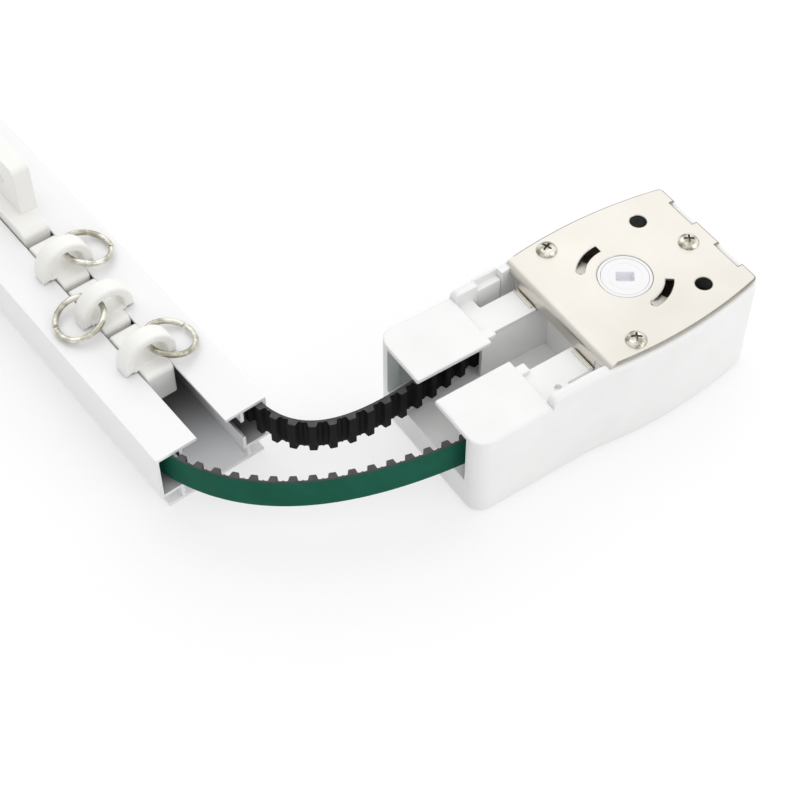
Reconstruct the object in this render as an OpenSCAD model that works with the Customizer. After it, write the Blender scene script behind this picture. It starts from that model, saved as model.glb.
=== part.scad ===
// Electric curtain track laid slot side up: a slotted rail with gliders and a driven carrier,
// a toothed belt that leaves the rail round a loose corner, and the drive head the belt runs into.
// The drive hub's axis stands on the origin, the rail runs along +Y and +Z is up.

/* [Rail] */
// Length of the rail
rail_l = 240; // [220:10:320]
// Width across the outer walls
rail_w = 34; // [33.6:0.2:36]
// Height from the base sheet to the slotted face
rail_h = 20.8; // [20.4:0.2:23]
// Thickness of the rail's walls and sheets
rail_t = 1; // [0.8:0.1:1.2]
// Width of the slot the gliders reach through
slot_w = 8.8; // [8.4:0.1:9]
// Clear width of the lane the wheels run in
lane_w = 17.8; // [17.6:0.2:18.4]
// Width of the base sheet the ceiling clips hold
sheet_w = 30.2; // [28:0.2:31]
// Height of the belt shelves above the base
shelf_z = 4.9; // [4:0.1:6]
// Rise of the ribs above the belt shelves
rib_rise = 3.8; // [2:0.2:4]
// Drop of the lips below the slotted sheet
lip_drop = 3.6; // [2:0.2:4]

/* [Belt] */
// Distance from tooth to tooth
belt_pitch = 5; // [4.8:0.1:5.1]
// Width of the belt
belt_w = 10; // [9:0.5:10.5]
// Thickness of the belt behind the teeth
belt_body = 1; // [0.8:0.1:1.1]
// Height of a tooth
tooth_h = 1.2; // [1:0.1:1.3]
// Width of a tooth at its tip
tooth_tip = 1.8; // [1.6:0.1:2]
// Width of a tooth at its root
tooth_root = 2.65; // [2.5:0.05:2.9]
// Gap between the belt's back and the rail's outer wall
belt_side_gap = 0.35; // [0.3:0.05:0.6]
// Gap between the belt's edge and the slotted sheet
belt_headroom = 0.3; // [0.2:0.1:0.8]
// How much higher the belt runs in the drive head than in the rail
belt_rise = 4.8; // [3:0.1:5]

/* [Corner] */
// Distance across from the drive hub to the rail's centre line
corner_x = 110.5; // [105:0.5:120]
// Distance from the drive hub to the rail's open end
corner_y = 33.5; // [30:0.5:40]
// Turn of the drive head away from square to the rail
head_turn = -4; // [-6:1:0]
// Where the outer run starts to bend inside the rail
outer_start = 20; // [16:1:24]
// Pull of the rail on the outer run's curve
outer_hold = 67; // [62:1:70]
// Pull of the drive pulley on the outer run's curve
outer_reach = 47; // [42:1:52]
// Where the inner run starts to bend inside the rail
inner_start = 3; // [2:0.5:4]
// Pull of the rail on the inner run's curve
inner_hold = 39; // [37:1:41]
// Pull of the drive pulley on the inner run's curve
inner_reach = 46; // [45:1:52]

/* [Drive head] */
// Distance from the hub to the mouth of the neck
neck_front = 63.9; // [60:0.1:68]
// Distance from the hub to the step behind the neck
neck_back = 40.5; // [38:0.1:42]
// Half the width of the neck outside
neck_half = 22.9; // [22:0.1:23]
// Gap on each side of a rail plugged into the neck
plug_gap = 0.6; // [0.3:0.1:1]
// Height of the neck's slotted top
neck_top = 28.8; // [28:0.1:30]
// Thickness of the neck's slotted top
neck_roof = 1.3; // [1:0.1:1.8]
// Half the width of the slot in the neck's top
neck_slot_half = 3.8; // [3.4:0.1:4.4]
// Height of the floor inside the neck
neck_floor = 10.4; // [9:0.1:11]
// Height of the two decks between the neck and the plate
deck_z = 26.6; // [26.2:0.1:27.4]
// Thickness of the decks
deck_t = 1.4; // [1.2:0.1:1.6]
// Half the width of the open cavity between the decks
cavity_half = 7.7; // [7:0.1:7.8]
// Thickness of the walls beside the cavity
cavity_wall = 1.2; // [1:0.1:1.3]
// Half the width across both decks
deck_half = 16.6; // [16:0.1:17.5]
// Distance from the neck's step to the near trench
near_trench = 9.2; // [8.8:0.1:11]
// Radius of the vent hole in the near deck
vent_r = 1; // [0.7:0.1:1.1]
// Distance from the neck's step to the far trench
far_trench = 5.5; // [4:0.5:7]
// Distance from the neck's step to the ledge beside the far trench
ledge_front = 7; // [7:0.5:9]
// Length of that ledge
ledge_l = 7.7; // [6:0.1:8.5]
// Height of that ledge
ledge_z = 29; // [28.2:0.1:29.4]
// Distance from the hub to the plate's front edge
plate_front = 22.9; // [22:0.1:24]
// Distance from the hub to the back wall
head_back = 29.8; // [29:0.1:32]
// Half the width of the head at the plate's front
front_half = 23.3; // [23.1:0.1:24]
// Half the greatest width of the head
head_half = 24.8; // [24.4:0.1:26]
// Half the width of the back wall
back_half = 21; // [20.6:0.1:22]
// Thickness of the head's outer walls
head_wall = 2.2; // [1.8:0.1:2.4]
// Thickness of the head's floor
head_floor = 2.2; // [1.8:0.1:3]
// Height of the rim the plate lies on
rim_z = 31.6; // [31:0.1:33]
// Radius of the neck's front corners
neck_corner = 4.5; // [3:0.5:5]
// Radius of the back corners
back_corner = 5; // [3:0.5:6]

/* [Top plate] */
// Thickness of the steel plate
plate_t = 1; // [0.8:0.1:1.5]
// Ledge of the housing left showing round the plate
plate_ledge = 1.2; // [0.8:0.1:1.4]
// Gap between the plate's folded lip and the decks
tab_gap = 0.3; // [0.2:0.1:0.6]
// Depth of the notches in the back edge
notch_d = 1.5; // [1:0.1:2]
// Width of each notch
notch_w = 9.2; // [8:0.1:9.6]
// Distance of the notches from the centre line
notch_y = 9.4; // [9:0.1:10]
// Radius of the plate's back corners
plate_corner = 1.5; // [1:0.1:2.5]
// Distance of the motor holes behind the hub
motor_hole_x = 15.5; // [15.4:0.1:17]
// Distance between the two motor holes
motor_hole_gap = 27.4; // [27.2:0.1:29]
// Radius of the motor holes
motor_hole_r = 2.3; // [2:0.1:2.7]
// Radius of the bayonet slots round the hub
bayonet_r = 11.8; // [11.4:0.1:12.5]
// Width of the bayonet slots
bayonet_w = 2.2; // [1.8:0.1:2.6]
// Angle each bayonet slot spans
bayonet_span = 52; // [46:1:60]
// Angle of the far bayonet slot's middle from the head's axis
bayonet_angle = 115; // [108:1:120]

/* [Screws] */
// Distance of the front screws ahead of the hub
front_screw_x = 11.6; // [11:0.1:13]
// Distance of the front screws from the centre line
front_screw_y = 19; // [18.9:0.1:19.4]
// Distance of the rear screw behind the hub
rear_screw_x = 21.7; // [21:0.1:23]
// Radius of a screw's head
screw_head_r = 3; // [2.6:0.1:3.2]
// Height of a screw's head
screw_head_h = 1.7; // [1.4:0.1:2]
// Radius of a screw's shank
screw_r = 1.4; // [1.2:0.1:1.5]
// Length of a screw's shank
screw_l = 9; // [7:0.5:12]

/* [Drive hub] */
// Radius of the hub
hub_r = 6.5; // [6:0.1:6.8]
// Radius of the hub's lower journal
journal_r = 4; // [3.5:0.1:4.5]
// Wall of the upper bush round the hub
bush_wall = 0.8; // [0.7:0.1:1]
// Length of the drive socket
socket_l = 4.9; // [4:0.1:6]
// Width of the drive socket
socket_w = 3.2; // [2.5:0.1:4]
// Depth of the drive socket
socket_d = 3; // [2:0.5:5]
// Angle of the drive socket from the head's axis
socket_angle = -34; // [-60:1:0]
// Thickness of a pulley flange
flange_t = 0.8; // [0.6:0.1:1]
// Reach of a pulley flange past the pitch line
flange_reach = 1.7; // [1.4:0.1:1.8]
// Width of the key that ties the pulley to the hub
key_w = 2.5; // [2:0.1:3]
// Height of the key
key_h = 1; // [0.6:0.1:1.2]

/* [Gliders] */
// Distance from the rail's open end to the first glider
first_glider = 23; // [18:1:30]
// Length of a glider's block
glider_l = 19; // [18:0.5:20]
// Gap between gliders
glider_gap = 1.6; // [1:0.1:3]
// Height of the block below the slotted sheet
glider_block_h = 8.6; // [8:0.1:9]
// Rise of the block above the slotted face
block_rise = 1.1; // [0.6:0.1:1.1]
// Distance from the block's front to the arch
arch_front = 4; // [3:0.5:6]
// Thickness of the arch along the rail
arch_t = 5.2; // [4.6:0.1:5.4]
// Outer radius of the arch
arch_r = 8; // [7.6:0.1:8.4]
// Straight part of the arch's legs
arch_leg = 1.7; // [1.5:0.1:2]
// Radius of the eyelet's round top
eyelet_r = 4.9; // [4.7:0.1:5]
// Gap between the glider's feet and the rail
foot_gap = 0.3; // [0.2:0.1:0.5]
// Thickness of the bar under the eyelet
foot_bar = 1.1; // [0.8:0.1:1.2]
// Radius of the wheels
wheel_r = 4; // [3.6:0.1:4.1]
// Width of a wheel
wheel_w = 3.8; // [3.4:0.1:3.9]
// Radius of the axles
axle_r = 1; // [0.8:0.1:1.2]

/* [Rings] */
// Radius of a ring at the middle of its wire
ring_r = 6.8; // [6.5:0.1:7]
// Radius of the ring wire
wire_r = 0.8; // [0.7:0.05:0.85]
// Angle of the gap where the wire's ends meet
ring_gap = 6; // [4:1:10]
// Place of that gap round the ring
ring_seam = 20; // [0:5:60]
// Distance of a ring's pivot from the glider's middle
ring_side = 1; // [0.8:0.1:1.2]
// Gap between a lying ring and the rail
ring_rest = 0.4; // [0.3:0.1:0.5]

/* [Carrier] */
// Length of the carrier's block
carrier_l = 34; // [32:1:38]
// Height of the carrier's base above the slotted face
carrier_base_h = 3.2; // [2.5:0.1:4]
// Distance from the block's front to the upright
upright_front = 7.5; // [6:0.5:9]
// Length of the upright
upright_l = 20; // [16:1:24]
// Thickness of the upright
upright_t = 5.6; // [4.5:0.1:6]
// Height of the upright above its base
upright_h = 16; // [12:0.5:20]
// Length of the hook slot
hook_slot_l = 6; // [4:0.5:8]
// Width of the hook slot
hook_slot_w = 2.8; // [2:0.1:3.5]
// Height of the hook slot above the base
hook_slot_z = 7.5; // [6:0.5:9]
// Length of the arm that reaches the belt
arm_l = 12; // [10:0.5:13]
// Length of the toothed jaw
jaw_l = 18; // [14:1:22]

/* [Return end] */
// Distance from the rail's end to the return pulley
return_x = 22; // [21.5:0.5:26]
// Thickness of the return housing's cheeks
cheek_t = 3.4; // [3:0.1:5]
// Thickness of the return housing's walls
return_wall = 2.2; // [1.8:0.1:2.4]
// Length of the cheeks that grip the rail
cheek_l = 18; // [12:1:24]
// Thickness of the return housing's lid
lid_t = 1.6; // [1.2:0.1:2]
// Radius of the return pulley's axle
return_axle_r = 3; // [2.5:0.1:3.5]
// Wall of the bush in the return pulley
return_bush = 2; // [1.5:0.1:2.5]

/* [Hidden] */
$fn = 64;
run_gap = 0.3;
seat_gap = 0.05;
wheel_slip = 0.08;
slip_gap = 0.15;
cut = 1;
tie_wall = 2.6;
curve_steps = 60;
side_step = 4;

// The largest pulley whose belt runs between the rail's outer walls
pulley_teeth = floor(PI*(rail_w - 2*rail_t - belt_body - 2*belt_side_gap)/belt_pitch);
pulley_r = pulley_teeth*belt_pitch/(2*PI);
land_r = pulley_r - belt_body/2;
flange_r = pulley_r + flange_reach;
rail_inner_top = rail_h - rail_t;
channel_half = rail_w/2 + plug_gap;
return_half = rail_w/2 + slip_gap + cheek_t;
belt_rail_z = rail_inner_top - belt_headroom - belt_w;
belt_head_z = belt_rail_z + belt_rise;
return_y = corner_y + rail_l + return_x;
rib_top = shelf_z + rail_t + rib_rise;
lip_low = rail_inner_top - lip_drop;
wheel_z = rail_inner_top - run_gap - wheel_r;
glider_w = slot_w - 2*run_gap;
wheel_in = glider_w/2 + 2*run_gap;
axle_half = lane_w/2 - run_gap;

// The belt's loop in plan, anticlockwise, teeth on the left
function turned(v, a) = [v[0]*cos(a) - v[1]*sin(a), v[0]*sin(a) + v[1]*cos(a)];
function eased(f) = let (c = min(1, max(0, f))) c*c*(3 - 2*c);
function curve_at(p, k) =
    (1 - k)^3*p[0] + 3*(1 - k)^2*k*p[1] + 3*(1 - k)*k^2*p[2] + k^3*p[3];
function curve_heading(p, k) =
    let (d = (1 - k)^2*(p[1] - p[0]) + 2*(1 - k)*k*(p[2] - p[1]) + k^2*(p[3] - p[2]))
    atan2(d[1], d[0]);
function curve_table(p) = [
    for (i = 0, s = 0;
         i <= curve_steps;
         s = s + norm(curve_at(p, (i + 1)/curve_steps) - curve_at(p, i/curve_steps)), i = i + 1)
        [s, i/curve_steps]
];

outer_from = [-corner_x - pulley_r, corner_y + outer_start];
outer_to = turned([0, -pulley_r], head_turn);
outer_curve = [
    outer_from,
    outer_from - [0, outer_hold],
    outer_to - turned([outer_reach, 0], head_turn),
    outer_to
];
inner_from = turned([0, pulley_r], head_turn);
inner_to = [-corner_x + pulley_r, corner_y + inner_start];
inner_curve = [
    inner_from,
    inner_from - turned([inner_reach, 0], head_turn),
    inner_to - [0, inner_hold],
    inner_to
];
outer_table = curve_table(outer_curve);
inner_table = curve_table(inner_curve);
outer_len = outer_table[curve_steps][0];
inner_len = inner_table[curve_steps][0];
half_wrap = PI*pulley_r;

mark_corner = return_y - outer_from[1];
mark_drive = mark_corner + outer_len;
mark_leave = mark_drive + half_wrap;
mark_rail = mark_leave + inner_len;
mark_return = mark_rail + return_y - inner_to[1];
belt_loop = mark_return + half_wrap;
belt_teeth = round(belt_loop/belt_pitch);
belt_step = belt_loop/belt_teeth;

function arc_angle(s) = s/pulley_r*180/PI;
// Place along the belt: x, y, heading, height of the lower edge
function belt_at(s) =
    s < mark_corner ? [outer_from[0], return_y - s, -90, belt_rail_z] :
    s < mark_drive ? let (k = lookup(s - mark_corner, outer_table), p = curve_at(outer_curve, k))
        [p[0], p[1], curve_heading(outer_curve, k),
         belt_rail_z + belt_rise*eased((s - mark_corner)/outer_len)] :
    s < mark_leave ? let (a = head_turn - 90 + arc_angle(s - mark_drive))
        [pulley_r*cos(a), pulley_r*sin(a), a + 90, belt_head_z] :
    s < mark_rail ? let (k = lookup(s - mark_leave, inner_table), p = curve_at(inner_curve, k))
        [p[0], p[1], curve_heading(inner_curve, k),
         belt_head_z - belt_rise*eased((s - mark_leave)/inner_len)] :
    s < mark_return ? [inner_to[0], inner_to[1] + s - mark_rail, 90, belt_rail_z] :
    let (a = arc_angle(s - mark_return))
        [-corner_x + pulley_r*cos(a), return_y + pulley_r*sin(a), a + 90, belt_rail_z];

function belt_section(s, rise) =
    let (p = belt_at((s + belt_loop) % belt_loop),
         n = [-sin(p[2]), cos(p[2])],
         back = [p[0], p[1]] - n*belt_body/2,
         face = [p[0], p[1]] + n*(belt_body/2 + rise))
    [[back[0], back[1], p[3]], [back[0], back[1], p[3] + belt_w],
     [face[0], face[1], p[3] + belt_w], [face[0], face[1], p[3]]];

tooth_marks = [[-tooth_root/2, 0], [-tooth_tip/2, tooth_h], [tooth_tip/2, tooth_h], [tooth_root/2, 0]];

// Teeth of the belt lie in the pulleys' grooves at the middle of each wrap
drive_tooth = round((mark_drive + half_wrap/2)/belt_step);
drive_phase = head_turn - 90 + arc_angle(drive_tooth*belt_step - mark_drive);
return_tooth = round((mark_return + half_wrap/2)/belt_step);
return_phase = arc_angle(return_tooth*belt_step - mark_return);

plastic = [0.94, 0.94, 0.93];
alloy = [0.9, 0.9, 0.91];
steel = [0.8, 0.78, 0.73];
bright = [0.72, 0.72, 0.7];
rubber = [0.16, 0.42, 0.33];
bronze = [0.72, 0.56, 0.32];
pale = [0.9, 0.89, 0.94];

module on_head() rotate([0, 0, head_turn]) children();
module on_rail(t) translate([-corner_x, corner_y + t, 0]) children();
// Extrudes a shape drawn across and up, along the rail
module along(l) translate([0, l, 0]) rotate([90, 0, 0]) linear_extrude(l) children();
module both_sides() for (m = [0, 1]) mirror([m, 0]) children();

module tube(h, outer, inner) {
    difference() {
        cylinder(h = h, r = outer);
        translate([0, 0, -cut]) cylinder(h = h + 2*cut, r = inner);
    }
}

// Pan head with a cross recess on a plain shank, head's underside at z = 0
module screw() {
    recess_l = 1.3*screw_head_r;
    recess_w = 0.3*screw_head_r;
    crown_r = (screw_head_r^2 + screw_head_h^2)/(2*screw_head_h);
    difference() {
        intersection() {
            cylinder(h = screw_head_h, r = screw_head_r);
            translate([0, 0, screw_head_h - crown_r]) sphere(crown_r);
        }
        for (a = [0, 90]) {
            rotate([0, 0, a])
                translate([-recess_l/2, -recess_w/2, screw_head_h/3])
                cube([recess_l, recess_w, screw_head_h]);
        }
    }
    translate([0, 0, -screw_l]) cylinder(h = screw_l + cut/10, r = screw_r);
}

// Toothed rim drawn flat, with one groove at the given angle
module toothed_disc(phase, bore) {
    flank = (tooth_root - tooth_tip)/2/tooth_h;
    floor_r = land_r - tooth_h - slip_gap;
    difference() {
        circle(land_r - slip_gap);
        for (i = [0:pulley_teeth - 1]) {
            rotate([0, 0, phase + i*360/pulley_teeth])
                polygon([
                    [floor_r, -tooth_tip/2 - slip_gap], [floor_r, tooth_tip/2 + slip_gap],
                    [land_r + cut, tooth_root/2 + slip_gap + flank*cut],
                    [land_r + cut, -tooth_root/2 - slip_gap - flank*cut]
                ]);
        }
        circle(bore);
    }
}

// Slotted extrusion: glider lane in the middle, a belt shelf on each side, clip groove below
module rail_section() {
    translate([-sheet_w/2, 0]) square([sheet_w, rail_t]);
    both_sides() {
        translate([lane_w/2 + rail_t, 0]) square([rail_t, shelf_z + rail_t]);
        translate([lane_w/2, shelf_z]) square([rail_w/2 - lane_w/2, rail_t]);
        translate([lane_w/2, shelf_z]) square([rail_t, rail_t + rib_rise]);
        translate([rail_w/2 - rail_t, shelf_z]) square([rail_t, rail_h - shelf_z]);
        translate([slot_w/2, rail_inner_top]) square([(rail_w - slot_w)/2, rail_t]);
        translate([lane_w/2, lip_low]) square([rail_t, lip_drop + rail_t/2]);
    }
}

module rail() {
    color(alloy) on_rail(0) along(rail_l) rail_section();
}

module belt() {
    count = 4*belt_teeth;
    points = [
        for (i = [0:belt_teeth - 1])
            for (m = tooth_marks)
                each belt_section(i*belt_step + m[0], m[1])
    ];
    faces = [
        for (i = [0:count - 1])
            for (k = [0:3])
                let (j = (i + 1) % count, n = (k + 1) % 4)
                each [[4*i + k, 4*i + n, 4*j + n], [4*i + k, 4*j + n, 4*j + k]]
    ];
    color(rubber) polyhedron(points, faces);
}

// The head's sides bow out from the plate's front to the back, widest in between
bow_ratio = sqrt((head_half - back_half)/(head_half - front_half));
widest = (head_back - bow_ratio*plate_front)/(1 + bow_ratio);
bow_rate = (head_half - front_half)/(widest + plate_front)^2;
bow_lead = (front_half - neck_half)/(bow_rate*(widest + plate_front));
// Half width of the drive head at a distance behind the hub
function side_at(x) =
    x > -plate_front ? head_half - bow_rate*(x - widest)^2 :
    neck_half + (front_half - neck_half)*max(0, (x + plate_front + bow_lead)/bow_lead)^2;

// One side of the head's outline, from the neck's mouth to the back, drawn in by an inset
function head_side(front, front_r, back_r, inset) =
    let (x0 = front + front_r, x1 = head_back - inset - back_r,
         lean = atan(2*bow_rate*(x1 - widest)), x2 = x1 + back_r*sin(lean),
         n = round((x2 - x0)/side_step), corner_steps = 6,
         y0 = side_at(front) - inset, y1 = side_at(x2) - inset - back_r*cos(lean))
    concat(
        [for (a = [180:-15:105]) [x0, y0 - front_r] + front_r*[cos(a), sin(a)]],
        [for (i = [0:n - 1]) let (x = x0 + (x2 - x0)*i/n) [x, side_at(x) - inset]],
        [for (i = [0:corner_steps]) let (a = (90 - lean)*(1 - i/corner_steps))
            [x1, y1] + back_r*[cos(a), sin(a)]]
    );
module head_outline(front, front_r, back_r, inset) {
    side = head_side(front, front_r, back_r, inset);
    last = len(side) - 1;
    polygon(concat(side, [for (i = [last:-1:0]) [side[i][0], -side[i][1]]]));
}

boss_wall = 1.2;
boss_r = screw_r + boss_wall;
screw_spots = [[-front_screw_x, front_screw_y], [-front_screw_x, -front_screw_y], [rear_screw_x, 0]];
motor_spots = [[motor_hole_x, motor_hole_gap/2], [motor_hole_x, -motor_hole_gap/2]];
hub_shoulder = 3;
lower_bush_wall = 2;
lower_bush_h = belt_head_z - head_floor - flange_t - 2*run_gap - hub_shoulder;
bush_seat_r = journal_r + lower_bush_wall;

// Pocket from a front to a back distance, between two widths and two heights
module pocket(x0, x1, y0, y1, z0, z1) translate([x0, y0, z0]) cube([x1 - x0, y1 - y0, z1 - z0]);

module drive_housing() {
    deck_y = side_at(-neck_back) - head_wall;
    lane_end = -plate_front + cut;
    hole_d = screw_l + run_gap - plate_t;
    trench_wall = 0.8;
    trench_y = deck_y - trench_wall;
    cavity_end = -flange_r - 2*run_gap;
    nub_l = 3.5;
    nub_w = 1.6;
    nub_rise = 1.4;
    ledge_x = -neck_back + ledge_front;
    thin_wall = 0.9;
    color(plastic) on_head() difference() {
        union() {
            difference() {
                linear_extrude(rim_z) head_outline(-neck_front, neck_corner, back_corner, 0);
                // Step down from the rim to the slotted top of the neck
                pocket(-neck_front - cut, -neck_back, -head_half, head_half, neck_top, rim_z + cut);
                pocket(-neck_back, -plate_front, -deck_y, deck_y, deck_z, rim_z + cut);
                // Room for the pulley under the plate
                translate([0, 0, head_floor]) linear_extrude(rim_z)
                    intersection() {
                        head_outline(-neck_front, neck_corner, back_corner - head_wall, head_wall);
                        translate([-plate_front, -head_half])
                            square([head_back + plate_front, 2*head_half]);
                    }
                // Belt lanes under the decks
                for (m = [0, 1]) {
                    mirror([0, m, 0])
                        pocket(-neck_back - cut, lane_end, cavity_half + cavity_wall, deck_y,
                               neck_floor, deck_z - deck_t);
                }
                pocket(-neck_back - cut, lane_end, -cavity_half, cavity_half, neck_floor, rim_z + cut);
                // Trenches between the decks and the side walls
                pocket(-neck_back + near_trench, -plate_front + cut, -trench_y, -deck_half,
                       neck_floor, rim_z + cut);
                pocket(-neck_back + far_trench, -plate_front + cut, deck_half, trench_y,
                       neck_floor, rim_z + cut);
                // The far wall is thinned above its ledge
                pocket(ledge_x, ledge_x + ledge_l, deck_y - cut, deck_y + head_wall - thin_wall,
                       ledge_z, rim_z + cut);
                // Neck channel and the slot above it
                pocket(-neck_front - cut, -neck_back, -channel_half, channel_half,
                       neck_floor, neck_top - neck_roof);
                pocket(-neck_front - cut, -neck_back + cut, -neck_slot_half, neck_slot_half,
                       neck_floor, rim_z + cut);
            }
            for (p = screw_spots) {
                translate([p[0], p[1], head_floor - cut/2])
                    cylinder(h = rim_z - head_floor + cut/2, r = boss_r);
            }
            translate([0, 0, head_floor - cut/2])
                cylinder(h = lower_bush_h + cut/2, r = bush_seat_r + tie_wall);
            // Ledge beside the far trench and nub behind the near flange
            pocket(ledge_x, ledge_x + ledge_l, trench_y, deck_y + head_wall/2, deck_z - deck_t, ledge_z);
            pocket(-neck_back - cut/2, -neck_back + nub_l, -cavity_half - nub_w, -cavity_half,
                   deck_z - deck_t/2, deck_z + nub_rise);
            // The cavity's floor and end wall stop short of the pulley
            pocket(-plate_front - cut, cavity_end, -cavity_half - cavity_wall/2, cavity_half + cavity_wall/2,
                   head_floor - cut/2, neck_floor);
            pocket(cavity_end - cavity_wall, cavity_end, -cavity_half - cavity_wall/2,
                   cavity_half + cavity_wall/2, head_floor - cut/2, deck_z - deck_t + cut/2);
            // Walls beside the cavity run on towards the pulley
            for (m = [0, 1]) {
                mirror([0, m, 0])
                    pocket(-plate_front - cut, -flange_r - run_gap, cavity_half, cavity_half + cavity_wall,
                           head_floor - cut/2, deck_z - deck_t + cut/2);
            }
        }
        for (p = screw_spots) {
            translate([p[0], p[1], rim_z - hole_d]) cylinder(h = hole_d + cut, r = screw_r + seat_gap);
        }
        translate([0, 0, head_floor]) cylinder(h = rim_z, r = bush_seat_r + seat_gap);
        // Vent hole in the near deck, ahead of the trench
        translate([-neck_back + near_trench - 3*vent_r, -deck_half, deck_z - deck_t - cut])
            cylinder(h = deck_t + 2*cut, r = vent_r);
        // Room for the pulley's flanges
        translate([0, 0, flange_low - run_gap])
            cylinder(h = flange_high - flange_low + 2*run_gap, r = flange_r + run_gap);
    }
}

module plate_outline() {
    difference() {
        intersection() {
            head_outline(-neck_front, neck_corner, plate_corner, plate_ledge);
            translate([-plate_front, -head_half]) square([head_back + plate_front, 2*head_half]);
        }
        for (m = [-1, 1]) {
            translate([head_back - plate_ledge - notch_d, m*notch_y - notch_w/2])
                square([notch_d + cut, notch_w]);
        }
    }
}

module arc_slot(angle) {
    rotate([0, 0, angle - bayonet_span/2])
        rotate_extrude(angle = bayonet_span)
        translate([bayonet_r - bayonet_w/2, 0]) square([bayonet_w, plate_t + 2*cut]);
}

module top_plate() {
    color(steel) on_head() {
        difference() {
            union() {
                translate([0, 0, rim_z]) linear_extrude(plate_t) plate_outline();
                // Lip folded down over the decks and the cavity
                pocket(-plate_front, -plate_front + plate_t, -deck_half, deck_half,
                       deck_z + tab_gap, rim_z + plate_t/2);
            }
            translate([0, 0, rim_z - cut]) {
                cylinder(h = plate_t + 2*cut, r = hub_r + bush_wall + 2*seat_gap);
                arc_slot(bayonet_angle);
                arc_slot(bayonet_angle + 180);
                for (p = screw_spots) {
                    translate([p[0], p[1], 0]) cylinder(h = plate_t + 2*cut, r = screw_r + slip_gap);
                }
                for (p = motor_spots) {
                    translate([p[0], p[1], 0]) cylinder(h = plate_t + 2*cut, r = motor_hole_r);
                }
            }
        }
    }
}

module plate_screws() {
    color(bright) on_head() {
        for (p = screw_spots) {
            translate([p[0], p[1], rim_z + plate_t]) rotate([0, 0, socket_angle]) screw();
        }
    }
}

module lower_bush() {
    color(bronze) translate([0, 0, head_floor]) tube(lower_bush_h, bush_seat_r, journal_r + seat_gap);
}

pulley_low = belt_head_z - run_gap;
pulley_high = belt_head_z + belt_w + run_gap;
flange_low = pulley_low - flange_t;
flange_high = pulley_high + flange_t;
hub_sink = 0.3;
hub_top = rim_z + plate_t - hub_sink;

module upper_bush() {
    sleeve_r = hub_r + seat_gap;
    collar_h = 1.4;
    color(pale) {
        translate([0, 0, flange_high + run_gap])
            tube(hub_top - flange_high - run_gap, sleeve_r + bush_wall, sleeve_r);
        translate([0, 0, rim_z - collar_h]) tube(collar_h, sleeve_r + 2*bush_wall, sleeve_r + bush_wall/2);
    }
}

module drive_key(extra) {
    translate([0, -key_w/2 - extra, flange_low - extra])
        cube([hub_r + key_h + extra, key_w + 2*extra, flange_high - flange_low + 2*extra]);
}

module drive_hub() {
    dish_rim = 1.7;
    dish_r = hub_r - dish_rim;
    dish_d = 0.4;
    journal_low = head_floor + run_gap;
    color(pale) on_head() difference() {
        union() {
            translate([0, 0, flange_low]) cylinder(h = hub_top - flange_low, r = hub_r);
            translate([0, 0, journal_low]) cylinder(h = flange_low - journal_low + cut, r = journal_r);
            drive_key(0);
        }
        translate([0, 0, hub_top - dish_d]) tube(dish_d + cut, dish_r, dish_r - dish_d);
        rotate([0, 0, socket_angle]) translate([-socket_l/2, -socket_w/2, hub_top - socket_d])
            cube([socket_l, socket_w, socket_d + cut]);
    }
}

module drive_pulley() {
    color("dimgray") difference() {
        translate([0, 0, pulley_low]) linear_extrude(pulley_high - pulley_low)
            toothed_disc(drive_phase, hub_r + seat_gap);
        on_head() drive_key(seat_gap);
    }
}

module drive_flange(z) {
    color(bright) difference() {
        translate([0, 0, z]) tube(flange_t, flange_r, hub_r + seat_gap);
        on_head() drive_key(seat_gap);
    }
}

// Return end: a box beyond the rail's far end, with cheeks over the rail's sides
lid_lift = 1.2;
return_top = max(rail_h, belt_rail_z + belt_w + 2*run_gap + flange_t) + lid_lift;
return_floor = 2;
return_screw_y = 3.2;
return_boss = [lane_w/2, return_screw_y];
return_low = belt_rail_z - run_gap - flange_t;
return_high = belt_rail_z + belt_w + run_gap + flange_t;
return_post_r = return_axle_r + return_bush;

module at_return() translate([-corner_x, corner_y + rail_l, 0]) children();
module return_plan(inset) {
    translate([-return_half + inset, 0]) square([2*(return_half - inset), return_x]);
    translate([0, return_x]) circle(return_half - inset);
}

module return_housing() {
    tongue_gap = 0.9;
    tongue_w = lane_w - 2*tongue_gap;
    tongue_h = shelf_z - rail_t - 2*slip_gap;
    color(plastic) at_return() difference() {
        union() {
            difference() {
                linear_extrude(return_top) return_plan(0);
                translate([0, 0, return_floor]) linear_extrude(return_top) return_plan(return_wall);
                translate([-return_half + return_wall, -cut, return_floor])
                    cube([2*(return_half - return_wall), 2*cut, return_top]);
            }
            for (m = [0, 1]) {
                mirror([m, 0, 0]) translate([rail_w/2 + slip_gap, -cheek_l, 0])
                    cube([return_half - rail_w/2 - slip_gap, cheek_l + cut/2, return_top]);
            }
            // Tongue in the rail's middle lane
            translate([-tongue_w/2, -cheek_l, rail_t + slip_gap])
                cube([tongue_w, cheek_l + tie_wall, tongue_h]);
            for (m = [-1, 1]) {
                translate([m*return_boss[0], return_boss[1], return_floor/2])
                    cylinder(h = return_top - return_floor/2, r = boss_r);
            }
            translate([0, return_x, return_floor/2])
                cylinder(h = return_low - run_gap - return_floor/2, r = return_post_r);
        }
        // Clearance round the rail's end
        translate([-rail_w/2 - slip_gap, -cheek_l - cut, rail_t + slip_gap + tongue_h])
            cube([rail_w + 2*slip_gap, cheek_l + cut, return_top]);
        for (m = [-1, 1]) {
            translate([m*return_boss[0], return_boss[1], return_top - screw_l - run_gap])
                cylinder(h = return_top, r = screw_r + seat_gap);
        }
        translate([0, return_x, return_floor/2]) cylinder(h = return_top, r = return_axle_r + seat_gap);
    }
}

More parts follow.
